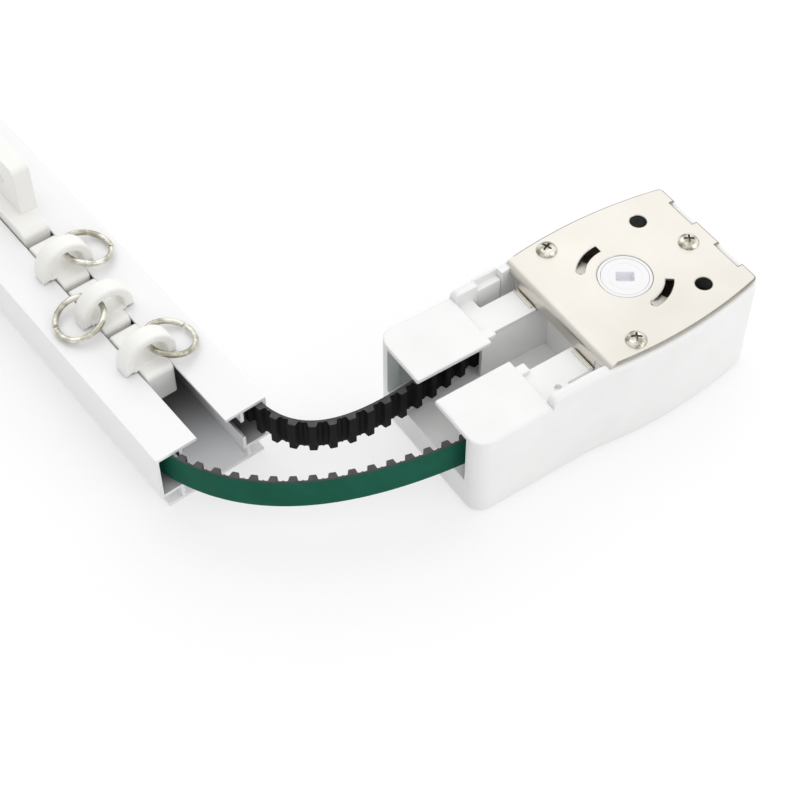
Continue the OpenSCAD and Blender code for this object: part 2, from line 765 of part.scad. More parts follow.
module return_lid() {
    color(plastic) at_return() translate([0, 0, return_top]) difference() {
        linear_extrude(lid_t) return_plan(0);
        translate([0, return_x, -cut]) cylinder(h = lid_t + 2*cut, r = return_axle_r + seat_gap);
        for (m = [-1, 1]) {
            translate([m*return_boss[0], return_boss[1], -cut])
                cylinder(h = lid_t + 2*cut, r = screw_r + slip_gap);
        }
    }
}

module return_screws() {
    color(bright) at_return() {
        for (m = [-1, 1]) {
            translate([m*return_boss[0], return_boss[1], return_top + lid_t]) screw();
        }
    }
}

module return_axle() {
    color(bright) at_return() translate([0, return_x, return_floor/2])
        cylinder(h = return_top + lid_t - return_floor/2, r = return_axle_r);
}

module return_pulley() {
    bore = return_axle_r + seat_gap + return_bush + seat_gap;
    color("dimgray") translate([-corner_x, return_y, return_low]) {
        translate([0, 0, flange_t]) linear_extrude(return_high - return_low - 2*flange_t)
            toothed_disc(return_phase, bore);
        tube(flange_t, flange_r, bore);
        translate([0, 0, return_high - return_low - flange_t]) tube(flange_t, flange_r, bore);
    }
}

module return_bush_ring() {
    inner = return_axle_r + seat_gap;
    color(bronze) translate([-corner_x, return_y, return_low])
        tube(return_high - return_low, inner + return_bush, inner);
}

// Wheels on an axle across the rail, at a place along it
module axle(t) {
    color(bright) on_rail(t) translate([-axle_half, 0, wheel_z]) rotate([0, 90, 0])
        cylinder(h = 2*axle_half, r = axle_r);
}
module wheel_pair(t) {
    color(plastic) on_rail(t) {
        for (m = [0, 1]) {
            mirror([m, 0, 0]) translate([wheel_in, 0, wheel_z]) rotate([0, 90, 0])
                tube(wheel_w, wheel_r, axle_r + wheel_slip);
        }
    }
}
module axle_bore(t) {
    translate([-glider_w, t, wheel_z]) rotate([0, 90, 0]) cylinder(h = 2*glider_w, r = axle_r + seat_gap);
}

block_low = rail_inner_top - run_gap - glider_block_h;
block_high = rail_h + block_rise;
foot_z = rail_h + foot_gap;
eyelet_lift = 0.6;
eyelet_mid = foot_z + arch_leg + eyelet_lift;
function glider_t(i) = first_glider + (3 - i)*(glider_l + glider_gap);
function arch_mid(i) = glider_t(i) + arch_front + arch_t/2;

module glider_body(i) {
    leg_top = foot_z + arch_leg;
    eyelet_low = foot_z + foot_bar;
    color(plastic) on_rail(glider_t(i)) difference() {
        union() {
            translate([-glider_w/2, 0, block_low]) cube([glider_w, glider_l, block_high - block_low]);
            translate([0, arch_front, 0]) along(arch_t) difference() {
                union() {
                    translate([0, leg_top]) circle(arch_r);
                    translate([-arch_r, foot_z]) square([2*arch_r, arch_leg]);
                }
                intersection() {
                    translate([0, eyelet_mid]) circle(eyelet_r);
                    translate([-eyelet_r, eyelet_low]) square(2*eyelet_r);
                }
                // The round is kept above the feet
                both_sides() translate([glider_w/2, 0]) square([2*arch_r, foot_z]);
            }
        }
        axle_bore(glider_l/2);
    }
}

// Split ring lying to one side of its glider, pivoting in the eyelet
ring_drop = 2.6;
ring_z = eyelet_mid + eyelet_r - ring_drop;
ring_tilt = asin((ring_z - rail_h - ring_rest - wire_r)/(2*ring_r));
module ring(i, side) {
    color(bright) on_rail(arch_mid(i)) translate([side*ring_side, 0, ring_z])
        rotate([0, side > 0 ? 0 : 180, 0]) rotate([0, side*ring_tilt, 0]) translate([ring_r, 0, 0])
        rotate([0, 0, ring_seam + ring_gap/2]) rotate_extrude(angle = 360 - ring_gap)
        translate([ring_r, 0]) circle(wire_r, $fn = 32);
}

carrier_t = first_glider + 3*(glider_l + glider_gap);
wheel_end_gap = 1;
carrier_wheel_inset = wheel_r + wheel_end_gap;
arm_low = rib_top + run_gap;
arm_high = lip_low - run_gap;
jaw_in = lane_w/2 + rail_t + 2*run_gap;
jaw_out = land_r - slip_gap;
jaw_t = carrier_t + carrier_l/2;
base_half = glider_w/2;

module carrier_body() {
    base_z = rail_h + run_gap;
    base_top = base_z + carrier_base_h;
    nose = 2.4;
    nose_z = base_top - nose/2;
    upright_a = -0.4;
    color(plastic) on_rail(carrier_t) difference() {
        union() {
            translate([-glider_w/2, 0, block_low])
                cube([glider_w, carrier_l, base_z - block_low + cut/2]);
            translate([-base_half, 0, 0]) rotate([90, 0, 90]) linear_extrude(2*base_half)
                polygon([
                    [0, base_z], [0, nose_z], [nose, base_top],
                    [carrier_l - nose, base_top], [carrier_l, nose_z], [carrier_l, base_z]
                ]);
            translate([upright_a, upright_front, base_top - cut])
                cube([upright_t, upright_l, upright_h + cut]);
            translate([0, (carrier_l - arm_l)/2, arm_low]) cube([jaw_in, arm_l, arm_high - arm_low]);
        }
        for (t = [carrier_wheel_inset, carrier_l - carrier_wheel_inset]) {
            axle_bore(t);
        }
        // Hook slot through the upright, with round ends
        translate([upright_a - cut, upright_front + upright_l/2, base_top + hook_slot_z]) {
            straight = hook_slot_l - hook_slot_w;
            translate([0, -straight/2, -hook_slot_w/2]) cube([upright_t + 2*cut, straight, hook_slot_w]);
            for (m = [-1, 1]) {
                translate([0, m*straight/2, 0]) rotate([0, 90, 0])
                    cylinder(h = upright_t + 2*cut, r = hook_slot_w/2);
            }
        }
        for (m = [-1, 1]) {
            jaw_screw_hole(carrier_l/2 + m*jaw_screw_gap/2, seat_gap);
        }
    }
}

jaw_screw_r = 0.9;
jaw_screw_l = 6;
jaw_screw_head = 1.6;
jaw_head_h = 1;
// The heads sit below the grooves of the belt's teeth
jaw_groove = land_r - tooth_h - slip_gap;
jaw_seat = jaw_groove - slip_gap - jaw_head_h - jaw_in;
jaw_screw_gap = 7;
module jaw_screw_hole(t, extra) {
    translate([jaw_in - jaw_screw_l, t, (arm_low + arm_high)/2]) rotate([0, 90, 0])
        cylinder(h = jaw_screw_l + cut, r = jaw_screw_r + extra);
}

module carrier_axles() {
    for (t = [carrier_wheel_inset, carrier_l - carrier_wheel_inset]) {
        axle(carrier_t + t);
    }
}

// Jaw whose teeth lock into the belt's inner run
module belt_jaw() {
    first = ceil((mark_rail + corner_y + jaw_t - jaw_l/2 - belt_pitch - inner_to[1])/belt_step);
    flank = (tooth_root - tooth_tip)/2/tooth_h;
    color(plastic) difference() {
        on_rail(jaw_t - jaw_l/2) translate([jaw_in, 0, arm_low])
            cube([jaw_out - jaw_in, jaw_l, arm_high - arm_low]);
        for (i = [first:first + ceil(jaw_l/belt_step) + 2]) {
            translate([-corner_x, inner_to[1] + i*belt_step - mark_rail, arm_low - cut])
                linear_extrude(arm_high - arm_low + 2*cut)
                polygon([
                    [jaw_groove, -tooth_tip/2 - slip_gap], [jaw_groove, tooth_tip/2 + slip_gap],
                    [land_r + cut, tooth_root/2 + slip_gap + flank*cut],
                    [land_r + cut, -tooth_root/2 - slip_gap - flank*cut]
                ]);
        }
        for (m = [-1, 1]) {
            on_rail(jaw_t + m*jaw_screw_gap/2) translate([jaw_in - cut, 0, (arm_low + arm_high)/2])
                rotate([0, 90, 0]) {
                    cylinder(h = jaw_out, r = jaw_screw_r + slip_gap);
                    translate([0, 0, cut + jaw_seat]) cylinder(h = jaw_out, r = jaw_screw_head + slip_gap);
                }
        }
    }
}

module jaw_screws() {
    color(bright) {
        for (m = [-1, 1]) {
            on_rail(jaw_t + m*jaw_screw_gap/2) translate([jaw_in, 0, (arm_low + arm_high)/2])
                rotate([0, 90, 0]) {
                    translate([0, 0, -jaw_screw_l + cut])
                        cylinder(h = jaw_screw_l + jaw_seat, r = jaw_screw_r);
                    translate([0, 0, jaw_seat]) cylinder(h = jaw_head_h, r = jaw_screw_head);
                }
        }
    }
}

rail();
belt();
drive_housing();
top_plate();
plate_screws();
lower_bush();
upper_bush();
drive_hub();
drive_pulley();
drive_flange(pulley_high);  // drive_flange_top
drive_flange(flange_low);  // drive_flange_bottom
return_housing();
return_lid();
return_screws();
return_axle();
return_pulley();
return_bush_ring();
carrier_body();
carrier_axles();
wheel_pair(carrier_t + carrier_wheel_inset);  // carrier_front_wheels
wheel_pair(carrier_t + carrier_l - carrier_wheel_inset);  // carrier_rear_wheels
belt_jaw();
jaw_screws();
glider_body(1);  // glider_1_body
axle(glider_t(1) + glider_l/2);  // glider_1_axle
wheel_pair(glider_t(1) + glider_l/2);  // glider_1_wheels
ring(1, 1);  // ring_1
glider_body(2);  // glider_2_body
axle(glider_t(2) + glider_l/2);  // glider_2_axle
wheel_pair(glider_t(2) + glider_l/2);  // glider_2_wheels
ring(2, -1);  // ring_2
glider_body(3);  // glider_3_body
axle(glider_t(3) + glider_l/2);  // glider_3_axle
wheel_pair(glider_t(3) + glider_l/2);  // glider_3_wheels
ring(3, 1);  // ring_3
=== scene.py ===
# %% [markdown]
# This lesson dresses an electric curtain track: a slotted rail with gliders, a toothed belt that
# leaves the rail round a loose corner, and the white drive head that pulls the belt. The packed
# solids give every place and size, so the first step is to load them.

# %% Load the imported track
import bisect
import math

import bmesh
import bpy
from mathutils import Matrix, Vector


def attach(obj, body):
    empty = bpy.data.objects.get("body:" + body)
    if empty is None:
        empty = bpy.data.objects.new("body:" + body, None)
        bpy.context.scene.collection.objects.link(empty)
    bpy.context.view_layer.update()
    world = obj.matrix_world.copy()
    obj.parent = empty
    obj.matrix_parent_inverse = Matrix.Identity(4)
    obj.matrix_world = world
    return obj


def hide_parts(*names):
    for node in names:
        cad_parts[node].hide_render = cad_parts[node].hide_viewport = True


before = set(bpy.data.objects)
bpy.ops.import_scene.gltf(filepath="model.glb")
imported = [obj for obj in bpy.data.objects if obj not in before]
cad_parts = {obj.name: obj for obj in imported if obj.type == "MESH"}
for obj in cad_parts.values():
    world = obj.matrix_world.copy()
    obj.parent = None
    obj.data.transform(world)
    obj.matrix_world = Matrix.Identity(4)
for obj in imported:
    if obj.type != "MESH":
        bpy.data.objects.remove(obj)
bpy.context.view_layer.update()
scene = bpy.context.scene
MM = 0.001

# %% [markdown]
# A product photograph like this one is taken with a longish lens from above one corner of the
# table. Blender's camera looks along its own -Z axis, so a vector from the target back to the
# camera, tracked with Z, gives its rotation. The figures come from fitting the rail's and the
# head's straight edges.

# %% Camera
def seen_from(azimuth, elevation):
    a, e = math.radians(azimuth), math.radians(elevation)
    return Vector((math.sin(a) * math.cos(e), -math.cos(a) * math.cos(e), math.sin(e)))


target = Vector((-56.66, 24.11, 0)) * MM
camera_azimuth, camera_elevation, camera_distance = -38.19, 51.66, 483.8
back = seen_from(camera_azimuth, camera_elevation)
camera = bpy.data.objects.new("table_camera", bpy.data.cameras.new("table_camera"))
camera.data.lens = 79.8
camera.data.sensor_width = 36
camera.data.clip_start = 0.01
camera.location = target + back * camera_distance * MM
camera.rotation_euler = back.to_track_quat("Z", "Y").to_euler()
scene.collection.objects.link(camera)
scene.camera = camera
scene.view_settings.view_transform = "Standard"
print("camera at", [round(v, 3) for v in camera.location])

# %% [markdown]
# Most of the light comes from everywhere, so white parts stay white and shadows stay soft: the
# sky of this studio is bright and even, a little brighter overhead and on the right. One big soft
# box above and behind adds direction and is mirrored by the steel sheet, a small one in front
# lifts the near faces. The camera sees a plain white sky, and mirrors see half of it.

# %% Light
def node(tree, kind, operation=None, **settings):
    made = tree.nodes.new(kind)
    if operation:
        made.operation = operation
    for socket, value in settings.items():
        made.inputs[socket.replace("_", " ")].default_value = value
    return made


def wire(tree, *links):
    for source, sink in links:
        tree.links.new(source, sink)


def soft_box(name, azimuth, elevation, distance, size, watts):
    lamp = bpy.data.lights.new(name, "AREA")
    lamp.size = size
    lamp.energy = watts
    holder = bpy.data.objects.new(name, lamp)
    direction = seen_from(azimuth, elevation)
    holder.location = target + direction * distance
    holder.rotation_euler = direction.to_track_quat("Z", "Y").to_euler()
    scene.collection.objects.link(holder)


soft_box("main_box", azimuth=165, elevation=60, distance=1.5, size=2.4, watts=6.4)
soft_box("front_box", azimuth=25, elevation=24, distance=1.5, size=1.0, watts=2.2)

white = (1, 1, 1, 1)
sky_tilt, sky_reach, sky_low, sky_high = (0.28, -0.06, 0.96), 0.6, 0.42, 0.97
mirror_share = 0.5
sky = bpy.data.worlds.new("studio_sky")
scene.world = sky
sky.use_nodes = True
tree = sky.node_tree
tree.nodes.clear()
direction = node(tree, "ShaderNodeTexCoord")
height = node(tree, "ShaderNodeVectorMath", "DOT_PRODUCT")
height.inputs[1].default_value = sky_tilt
fade = node(tree, "ShaderNodeMapRange", From_Min=0.0, From_Max=sky_reach,
            To_Min=sky_low, To_Max=sky_high)
studio = node(tree, "ShaderNodeBackground", Color=white)
plain = node(tree, "ShaderNodeBackground", Color=white)
path = node(tree, "ShaderNodeLightPath")
mirror = node(tree, "ShaderNodeMath", "MULTIPLY_ADD")
mirror.inputs[1].default_value = mirror_share
pick = node(tree, "ShaderNodeMixShader")
out = node(tree, "ShaderNodeOutputWorld")
wire(tree, (direction.outputs["Generated"], height.inputs[0]),
     (height.outputs["Value"], fade.inputs["Value"]),
     (fade.outputs["Result"], studio.inputs["Strength"]),
     (path.outputs["Is Glossy Ray"], mirror.inputs[0]),
     (path.outputs["Is Camera Ray"], mirror.inputs[2]),
     (mirror.outputs[0], pick.inputs["Fac"]),
     (studio.outputs[0], pick.inputs[1]),
     (plain.outputs[0], pick.inputs[2]),
     (pick.outputs[0], out.inputs[0]))

# %% [markdown]
# The table is matt white paper that runs far beyond the picture and keeps the soft shadow. For
# camera and mirror rays it leans towards pure white, as an overexposed sweep does.

# %% Table
table_half, table_z = 4.0, -0.0002
paper_white, glow_share = 0.97, 0.52
table_mesh = bpy.data.meshes.new("white_table")
around = ((-1, -1), (1, -1), (1, 1), (-1, 1))
corners = [(x * table_half, y * table_half, table_z) for x, y in around]
table_mesh.from_pydata(corners, [], [(0, 1, 2, 3)])
table = bpy.data.objects.new("white_table", table_mesh)
scene.collection.objects.link(table)
paper = bpy.data.materials.new("white_paper")
paper.use_nodes = True
tree = paper.node_tree
tree.nodes.clear()
matt = node(tree, "ShaderNodeBsdfDiffuse", Color=(paper_white, paper_white, paper_white, 1))
glow = node(tree, "ShaderNodeEmission")
path = node(tree, "ShaderNodeLightPath")
either = node(tree, "ShaderNodeMath", "MAXIMUM")
share = node(tree, "ShaderNodeMath", "MULTIPLY")
share.inputs[1].default_value = glow_share
pick = node(tree, "ShaderNodeMixShader")
out = node(tree, "ShaderNodeOutputMaterial")
wire(tree, (path.outputs["Is Camera Ray"], either.inputs[0]),
     (path.outputs["Is Glossy Ray"], either.inputs[1]),
     (either.outputs[0], share.inputs[0]),
     (share.outputs[0], pick.inputs[0]),
     (matt.outputs[0], pick.inputs[1]),
     (glow.outputs[0], pick.inputs[2]),
     (pick.outputs[0], out.inputs["Surface"]))
table_mesh.materials.append(paper)
print("table", [round(v, 2) for v in table.dimensions])

# %% [markdown]
# No real surface is one flat colour. Each finish here is built the same way: a soft noise shifts
# the colour a little, and a fine one shifts the gloss and raises the surface by a few hundredths
# of a millimetre. What differs is how strong each one is, so one small recipe with a few settings
# is enough. One setting darkens a colour along Y between two places: painted shade for the
# inside of the rail, and a painted reflection gradient across the steel sheet.

# %% A recipe for finishes
def finish(name, light, dark, gloss, metal=0.0, patch=90, grain=1500, relief=0.02,
           stretch=(1, 1, 1), coat=0.0, specular=0.5, painted_shade_along_y=None, spread=(0.3, 0.7)):
    material = bpy.data.materials.new(name)
    material.use_nodes = True
    tree = material.node_tree
    shader = tree.nodes["Principled BSDF"]
    shader.inputs["Metallic"].default_value = metal
    shader.inputs["Coat Weight"].default_value = coat
    shader.inputs["Specular IOR Level"].default_value = specular
    place = node(tree, "ShaderNodeTexCoord")
    squeeze = node(tree, "ShaderNodeMapping", Scale=stretch)
    clouds = node(tree, "ShaderNodeTexNoise", Scale=patch, Detail=4)
    tint = node(tree, "ShaderNodeValToRGB")
    for stop, position, colour in zip(tint.color_ramp.elements, spread, (dark, light)):
        stop.position = position
        stop.color = (*colour, 1)
    pores = node(tree, "ShaderNodeTexNoise", Scale=grain, Detail=3)
    sheen = node(tree, "ShaderNodeMapRange", To_Min=gloss[0], To_Max=gloss[1])
    bump = node(tree, "ShaderNodeBump", Strength=0.5, Distance=relief * MM)
    wire(tree, (place.outputs["Object"], squeeze.inputs[0]),
         (squeeze.outputs[0], clouds.inputs["Vector"]),
         (squeeze.outputs[0], pores.inputs["Vector"]),
         (clouds.outputs["Fac"], tint.inputs[0]),
         (tint.outputs[0], shader.inputs["Base Color"]),
         (pores.outputs["Fac"], sheen.inputs["Value"]),
         (sheen.outputs[0], shader.inputs["Roughness"]),
         (pores.outputs["Fac"], bump.inputs["Height"]),
         (bump.outputs[0], shader.inputs["Normal"]))
    # painted shade: the colour is scaled down along Y, full at the first place, times the factor at
    # the last
    if painted_shade_along_y:
        first, last, factor = painted_shade_along_y
        apart = node(tree, "ShaderNodeSeparateXYZ")
        shade_fade = node(tree, "ShaderNodeMapRange", From_Min=first * MM, From_Max=last * MM,
                       To_Min=1.0, To_Max=factor)
        shade_fade.interpolation_type = "SMOOTHSTEP"
        dim = node(tree, "ShaderNodeVectorMath", "SCALE")
        wire(tree, (place.outputs["Object"], apart.inputs[0]),
             (apart.outputs["Y"], shade_fade.inputs["Value"]),
             (tint.outputs[0], dim.inputs[0]),
             (shade_fade.outputs[0], dim.inputs["Scale"]),
             (dim.outputs[0], shader.inputs["Base Color"]))
    return material


print("recipe for finishes ready")

# %% [markdown]
# With the recipe at hand, the finishes are a short list. The plastics are whites that differ by a
# trace of warmth. The rail's grain is drawn out along its length, as an extrusion's is. The
# metals swing between light and dark in small patches, which stands for what polished wire and
# screw heads mirror in a busy studio.

# %% Finishes
drawn = dict(patch=60, grain=700, stretch=(1, 0.05, 1))
white_moulding = finish("white_moulding", (0.90, 0.90, 0.895), (0.87, 0.87, 0.865), (0.38, 0.5),
                        relief=0.015)
glider_nylon = finish("glider_nylon", (0.925, 0.92, 0.89), (0.895, 0.89, 0.86), (0.3, 0.42))
rail_coat = finish("rail_coat", (0.90, 0.90, 0.91), (0.875, 0.875, 0.885), (0.28, 0.38),
                   relief=0.012, coat=0.15, **drawn)
# the lane and the belt shelves: darker colours that fall off inwards, painted shade inside the rail
lane_painted_shade = finish("lane_painted_shade", (0.93, 0.935, 0.95), (0.89, 0.895, 0.91), (0.4, 0.55),
                   painted_shade_along_y=(38, 66, 0.3), **drawn)
shelf_painted_shade = finish("shelf_painted_shade", (0.62, 0.62, 0.63), (0.56, 0.56, 0.57), (0.4, 0.55),
                    painted_shade_along_y=(33.5, 40, 0.3), **drawn)
# the sheet's colour falls a little towards -Y: a painted reflection gradient
satin_sheet = finish("satin_sheet", (0.785, 0.76, 0.705), (0.70, 0.672, 0.613), (0.26, 0.4),
                     metal=1.0, patch=32, grain=2600, relief=0.006, painted_shade_along_y=(24, -24, 0.94))
# dark steel for the sheet's cut rim and the screw recesses: painted dark reflection on the rim,
# painted shade in the recesses
painted_dark_steel = finish("painted_dark_steel", (0.36, 0.34, 0.30), (0.28, 0.265, 0.235), (0.3, 0.45),
                    metal=1.0, patch=300)
bright_wire = finish("bright_wire", (0.82, 0.80, 0.72), (0.38, 0.36, 0.28), (0.12, 0.22),
                     metal=1.0, patch=260, grain=2500, relief=0.006, spread=(0.4, 0.6))
screw_steel = finish("screw_steel", (0.90, 0.87, 0.79), (0.34, 0.32, 0.25), (0.08, 0.16),
                     metal=1.0, patch=420, grain=2500, relief=0.006, spread=(0.4, 0.58))
belt_cloth = finish("belt_cloth", (0.007, 0.108, 0.066), (0.005, 0.090, 0.054), (0.6, 0.72),
                    patch=140, grain=3200, relief=0.03, specular=0.1)
belt_teeth_rubber = finish("belt_teeth_rubber", (0.006, 0.006, 0.007), (0.003, 0.003, 0.0035),
                           (0.6, 0.75), patch=200, grain=1800, relief=0.03, specular=0.2)
cut_rubber = dict(gloss=(0.7, 0.85), patch=400, grain=2500, relief=0.05, specular=0.2)
belt_cut_edge = finish("belt_cut_edge", (0.10, 0.097, 0.10), (0.065, 0.065, 0.068), **cut_rubber)
belt_cloth_edge = finish("belt_cloth_edge", (0.06, 0.068, 0.064), (0.045, 0.052, 0.048),
                         **cut_rubber)
hub_plastic = finish("hub_plastic", (0.90, 0.89, 0.90), (0.87, 0.86, 0.875), (0.3, 0.4),
                     relief=0.01)
socket_plastic = finish("socket_plastic", (0.95, 0.94, 0.97), (0.92, 0.91, 0.945), (0.4, 0.5),
                        relief=0.01)
dark_pulley = finish("dark_pulley", (0.035, 0.035, 0.037), (0.025, 0.025, 0.027), (0.4, 0.55))
bearing_bronze = finish("bearing_bronze", (0.66, 0.48, 0.24), (0.52, 0.36, 0.17), (0.3, 0.45),
                        metal=1.0, relief=0.03)
print("finishes", len(bpy.data.materials))

# %% [markdown]
# Most pieces are moulded or pressed, so they are outlines pushed through a thickness with
# softened edges. The first helpers draw such outlines in millimetres: an arc, a circle, and a
# polygon whose corners are eased, each by a radius of its own if it has one. A block is then an
# outline between two heights, and its sharp edges are bevelled.

# %% Helpers for outlines and blocks
def arc(x, y, r, first, last, steps):
    angles = [first + (last - first) * k / steps for k in range(steps + 1)]
    return [(x + r * math.cos(a), y + r * math.sin(a)) for a in angles]


def circle(x, y, r, count):
    return arc(x, y, r, 0, 2 * math.pi, count)[:-1]


def rounded(corners, radius, steps=5):
    path, count = [], len(corners)
    for i, corner in enumerate(corners):
        here = Vector(corner[:2])
        r = corner[2] if len(corner) > 2 else radius
        before = Vector(corners[i - 1][:2]) - here
        after = Vector(corners[(i + 1) % count][:2]) - here
        angle = before.angle(after)
        straight = angle > math.pi - 0.02
        if r <= 0 or straight:
            path.append(tuple(here))
            continue
        just_under_half = 0.48 * min(before.length, after.length)
        cut = min(r / math.tan(angle / 2), just_under_half)
        r = cut * math.tan(angle / 2)
        between = (before.normalized() + after.normalized()).normalized()
        middle = here + between * (r / math.sin(angle / 2))
        first = here + before.normalized() * cut - middle
        last = here + after.normalized() * cut - middle
        start = math.atan2(first.y, first.x)
        sweep = (math.atan2(last.y, last.x) - start + math.pi) % (2 * math.pi) - math.pi
        path += arc(middle.x, middle.y, r, start, start + sweep, steps)
    return path


def soften(form, size, steps, pick):
    sharp = [e for e in form.edges if e.calc_face_angle(0) > math.radians(32)
             and pick((e.verts[0].co + e.verts[1].co) / (2 * MM))]
    bmesh.ops.bevel(form, geom=sharp, offset=size * MM, segments=steps, profile=0.5,
                    affect="EDGES", clamp_overlap=True)
    return form


def block(outline, low, high, soft=0.3, keep_low=False, steps=2):
    form = bmesh.new()
    lower = [form.verts.new((x * MM, y * MM, low * MM)) for x, y in outline]
    upper = [form.verts.new((x * MM, y * MM, high * MM)) for x, y in outline]
    count = len(outline)
    form.faces.new(lower[::-1])
    form.faces.new(upper)
    for i in range(count):
        n = (i + 1) % count
        form.faces.new((lower[i], lower[n], upper[n], upper[i]))
    bmesh.ops.recalc_face_normals(form, faces=form.faces[:])
    if soft > 0:
        soften(form, soft, steps, lambda p: not keep_low or p.z > low + 1e-4)
    return form


def box(x0, x1, y0, y1, low, high, soft):
    return block([(x0, y0), (x1, y0), (x1, y1), (x0, y1)], low, high, soft)


def span(side, near, far):
    return sorted((side * near, side * far))


def moved(form, x, y, z=0):
    bmesh.ops.translate(form, verts=form.verts[:], vec=(x * MM, y * MM, z * MM))
    return form


print("outline and block helpers ready")

# %% [markdown]
# Three more ways to make a form. A flat curve with holes can be poured, because Blender fills
# holes in a 2D curve and rounds its rim in the same go. Round parts are turned: a profile of
# radius and height is spun about Z. Anything long is skinned: rings of points, one behind the
# other, are joined by faces, and the two ends are capped unless the rings run round in a loop.

# %% Helpers for poured, turned and skinned forms
def taken(holder):
    bpy.context.view_layer.update()
    ready = holder.evaluated_get(bpy.context.evaluated_depsgraph_get())
    mesh = bpy.data.meshes.new_from_object(ready)
    form = bmesh.new()
    form.from_mesh(mesh)
    bpy.data.meshes.remove(mesh)
    return form


def poured(outer, holes, low, high, soft):
    curve = bpy.data.curves.new("poured", "CURVE")
    curve.dimensions = "2D"
    curve.fill_mode = "BOTH"
    curve.extrude = ((high - low) / 2 - soft) * MM
    curve.bevel_depth = soft * MM
    curve.bevel_resolution = 2
    curve.offset = -soft * MM
    for loop in [outer] + [hole[::-1] for hole in holes]:
        spline = curve.splines.new("POLY")
        spline.points.add(len(loop) - 1)
        for point, (x, y) in zip(spline.points, loop):
            point.co = (x * MM, y * MM, 0, 1)
        spline.use_cyclic_u = True
    holder = bpy.data.objects.new("poured", curve)
    scene.collection.objects.link(holder)
    form = taken(holder)
    bpy.data.objects.remove(holder)
    bmesh.ops.remove_doubles(form, verts=form.verts[:], dist=1e-6)
    return moved(form, 0, 0, (low + high) / 2)


def turned(profile, count=64):
    form = bmesh.new()
    rings = []
    for r, z in profile:
        if r < 1e-6:
            rings.append([form.verts.new((0, 0, z * MM))] * count)
        else:
            spots = circle(0, 0, r, count)
            rings.append([form.verts.new((x * MM, y * MM, z * MM)) for x, y in spots])
    for inner, outer in zip(rings, rings[1:]):
        for k in range(count):
            n = (k + 1) % count
            corners = [inner[k], inner[n], outer[n], outer[k]]
            corners = [v for i, v in enumerate(corners) if v not in corners[:i]]
            if len(corners) > 2:
                form.faces.new(corners)
    bmesh.ops.recalc_face_normals(form, faces=form.faces[:])
    return form


def skinned(sections, loop=False, looks=None):
    form = bmesh.new()
    rings = [[form.verts.new([v * MM for v in spot]) for spot in spots] for spots in sections]
    followers = rings[1:] + rings[:1] if loop else rings[1:]
    for ring, after in zip(rings, followers):
        for k in range(len(ring)):
            n = (k + 1) % len(ring)
            face = form.faces.new((ring[k], ring[n], after[n], after[k]))
            face.material_index = looks[k] if looks else 0
    if not loop:
        form.faces.new(rings[0])
        form.faces.new(rings[-1][::-1])
    bmesh.ops.recalc_face_normals(form, faces=form.faces[:])
    return form


print("pouring, turning and skinning helpers ready")

# %% [markdown]
# A piece is often several forms joined into one mesh. Its smooth faces share normals and its
# sharp edges stay sharp. The head and the rail each have their own frame: the head is turned a
# little on the table, the rail lies off to one side of it.

# %% Helpers to join and dress pieces
def assembled(name, forms, place=Matrix.Identity(4), crease=38):
    mesh = bpy.data.meshes.new(name)
    whole = bmesh.new()
    for form in forms:
        scrap = bpy.data.meshes.new("scrap")
        form.to_mesh(scrap)
        form.free()
        whole.from_mesh(scrap)
        bpy.data.meshes.remove(scrap)
    bmesh.ops.dissolve_degenerate(whole, dist=1e-8, edges=whole.edges[:])
    whole.to_mesh(mesh)
    whole.free()
    mesh.transform(place)
    mesh.polygons.foreach_set("use_smooth", [True] * len(mesh.polygons))
    mesh.set_sharp_from_angle(angle=math.radians(crease))
    piece = bpy.data.objects.new(name, mesh)
    scene.collection.objects.link(piece)
    even = piece.modifiers.new("even_shading", "WEIGHTED_NORMAL")
    even.keep_sharp = True
    return piece


def dress(piece, looks, body, slot, *nodes):
    for material in looks:
        piece.data.materials.append(material)
    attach(piece, body)
    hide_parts(*nodes)
    low, high = Vector(piece.bound_box[0]), Vector(piece.bound_box[6])
    size = [round(v / MM, 1) for v in high - low]
    print(piece.name, "faces", len(piece.data.polygons), "size mm", size)


corner_x, corner_y, rail_l = 110.5, 33.5, 240.0
head_turn = math.radians(-4)
to_head = Matrix.Rotation(head_turn, 4, "Z")
stand_up = Matrix.Rotation(math.radians(90), 4, "X")
sideways = Matrix(((0, 0, 1, 0), (1, 0, 0, 0), (0, 1, 0, 0), (0, 0, 0, 1)))


def to_rail(t):
    return Matrix.Translation((-corner_x * MM, (corner_y + t) * MM, 0))


print("rail length mm", rail_l)

# %% [markdown]
# The rail is one aluminium extrusion, powder-coated white. Its section is a single closed line:
# base sheet, lower walls, belt shelves with a rib, outer walls, and the slotted face with two
# lips hanging inside. The line is drawn once for the right side and mirrored, its corners eased
# as a die leaves them, then extruded. Each point is across, up and, at one corner, its own
# radius. The lane and the belt shelves get darker colours that fall off further inside: painted
# shade for the inside of the rail.

# %% Rail
right_side = [(15.1, 0), (15.1, 1), (10.9, 1), (10.9, 4.9), (17, 4.9), (17, 20.8, 0.5),
              (4.4, 20.8), (4.4, 19.8), (8.9, 19.8), (8.9, 16.2), (9.9, 16.2), (9.9, 19.8),
              (16, 19.8), (16, 5.9), (9.9, 5.9), (9.9, 9.7), (8.9, 9.7), (8.9, 4.9), (9.9, 4.9),
              (9.9, 1)]
die_r = 0.22
section = right_side + [(-p[0], *p[1:]) for p in right_side[::-1]]
rail = assembled("slotted_rail", [block(rounded(section, die_r, 3), -rail_l, 0, soft=0)],
                 to_rail(0) @ stand_up)
ceiling = 19.85
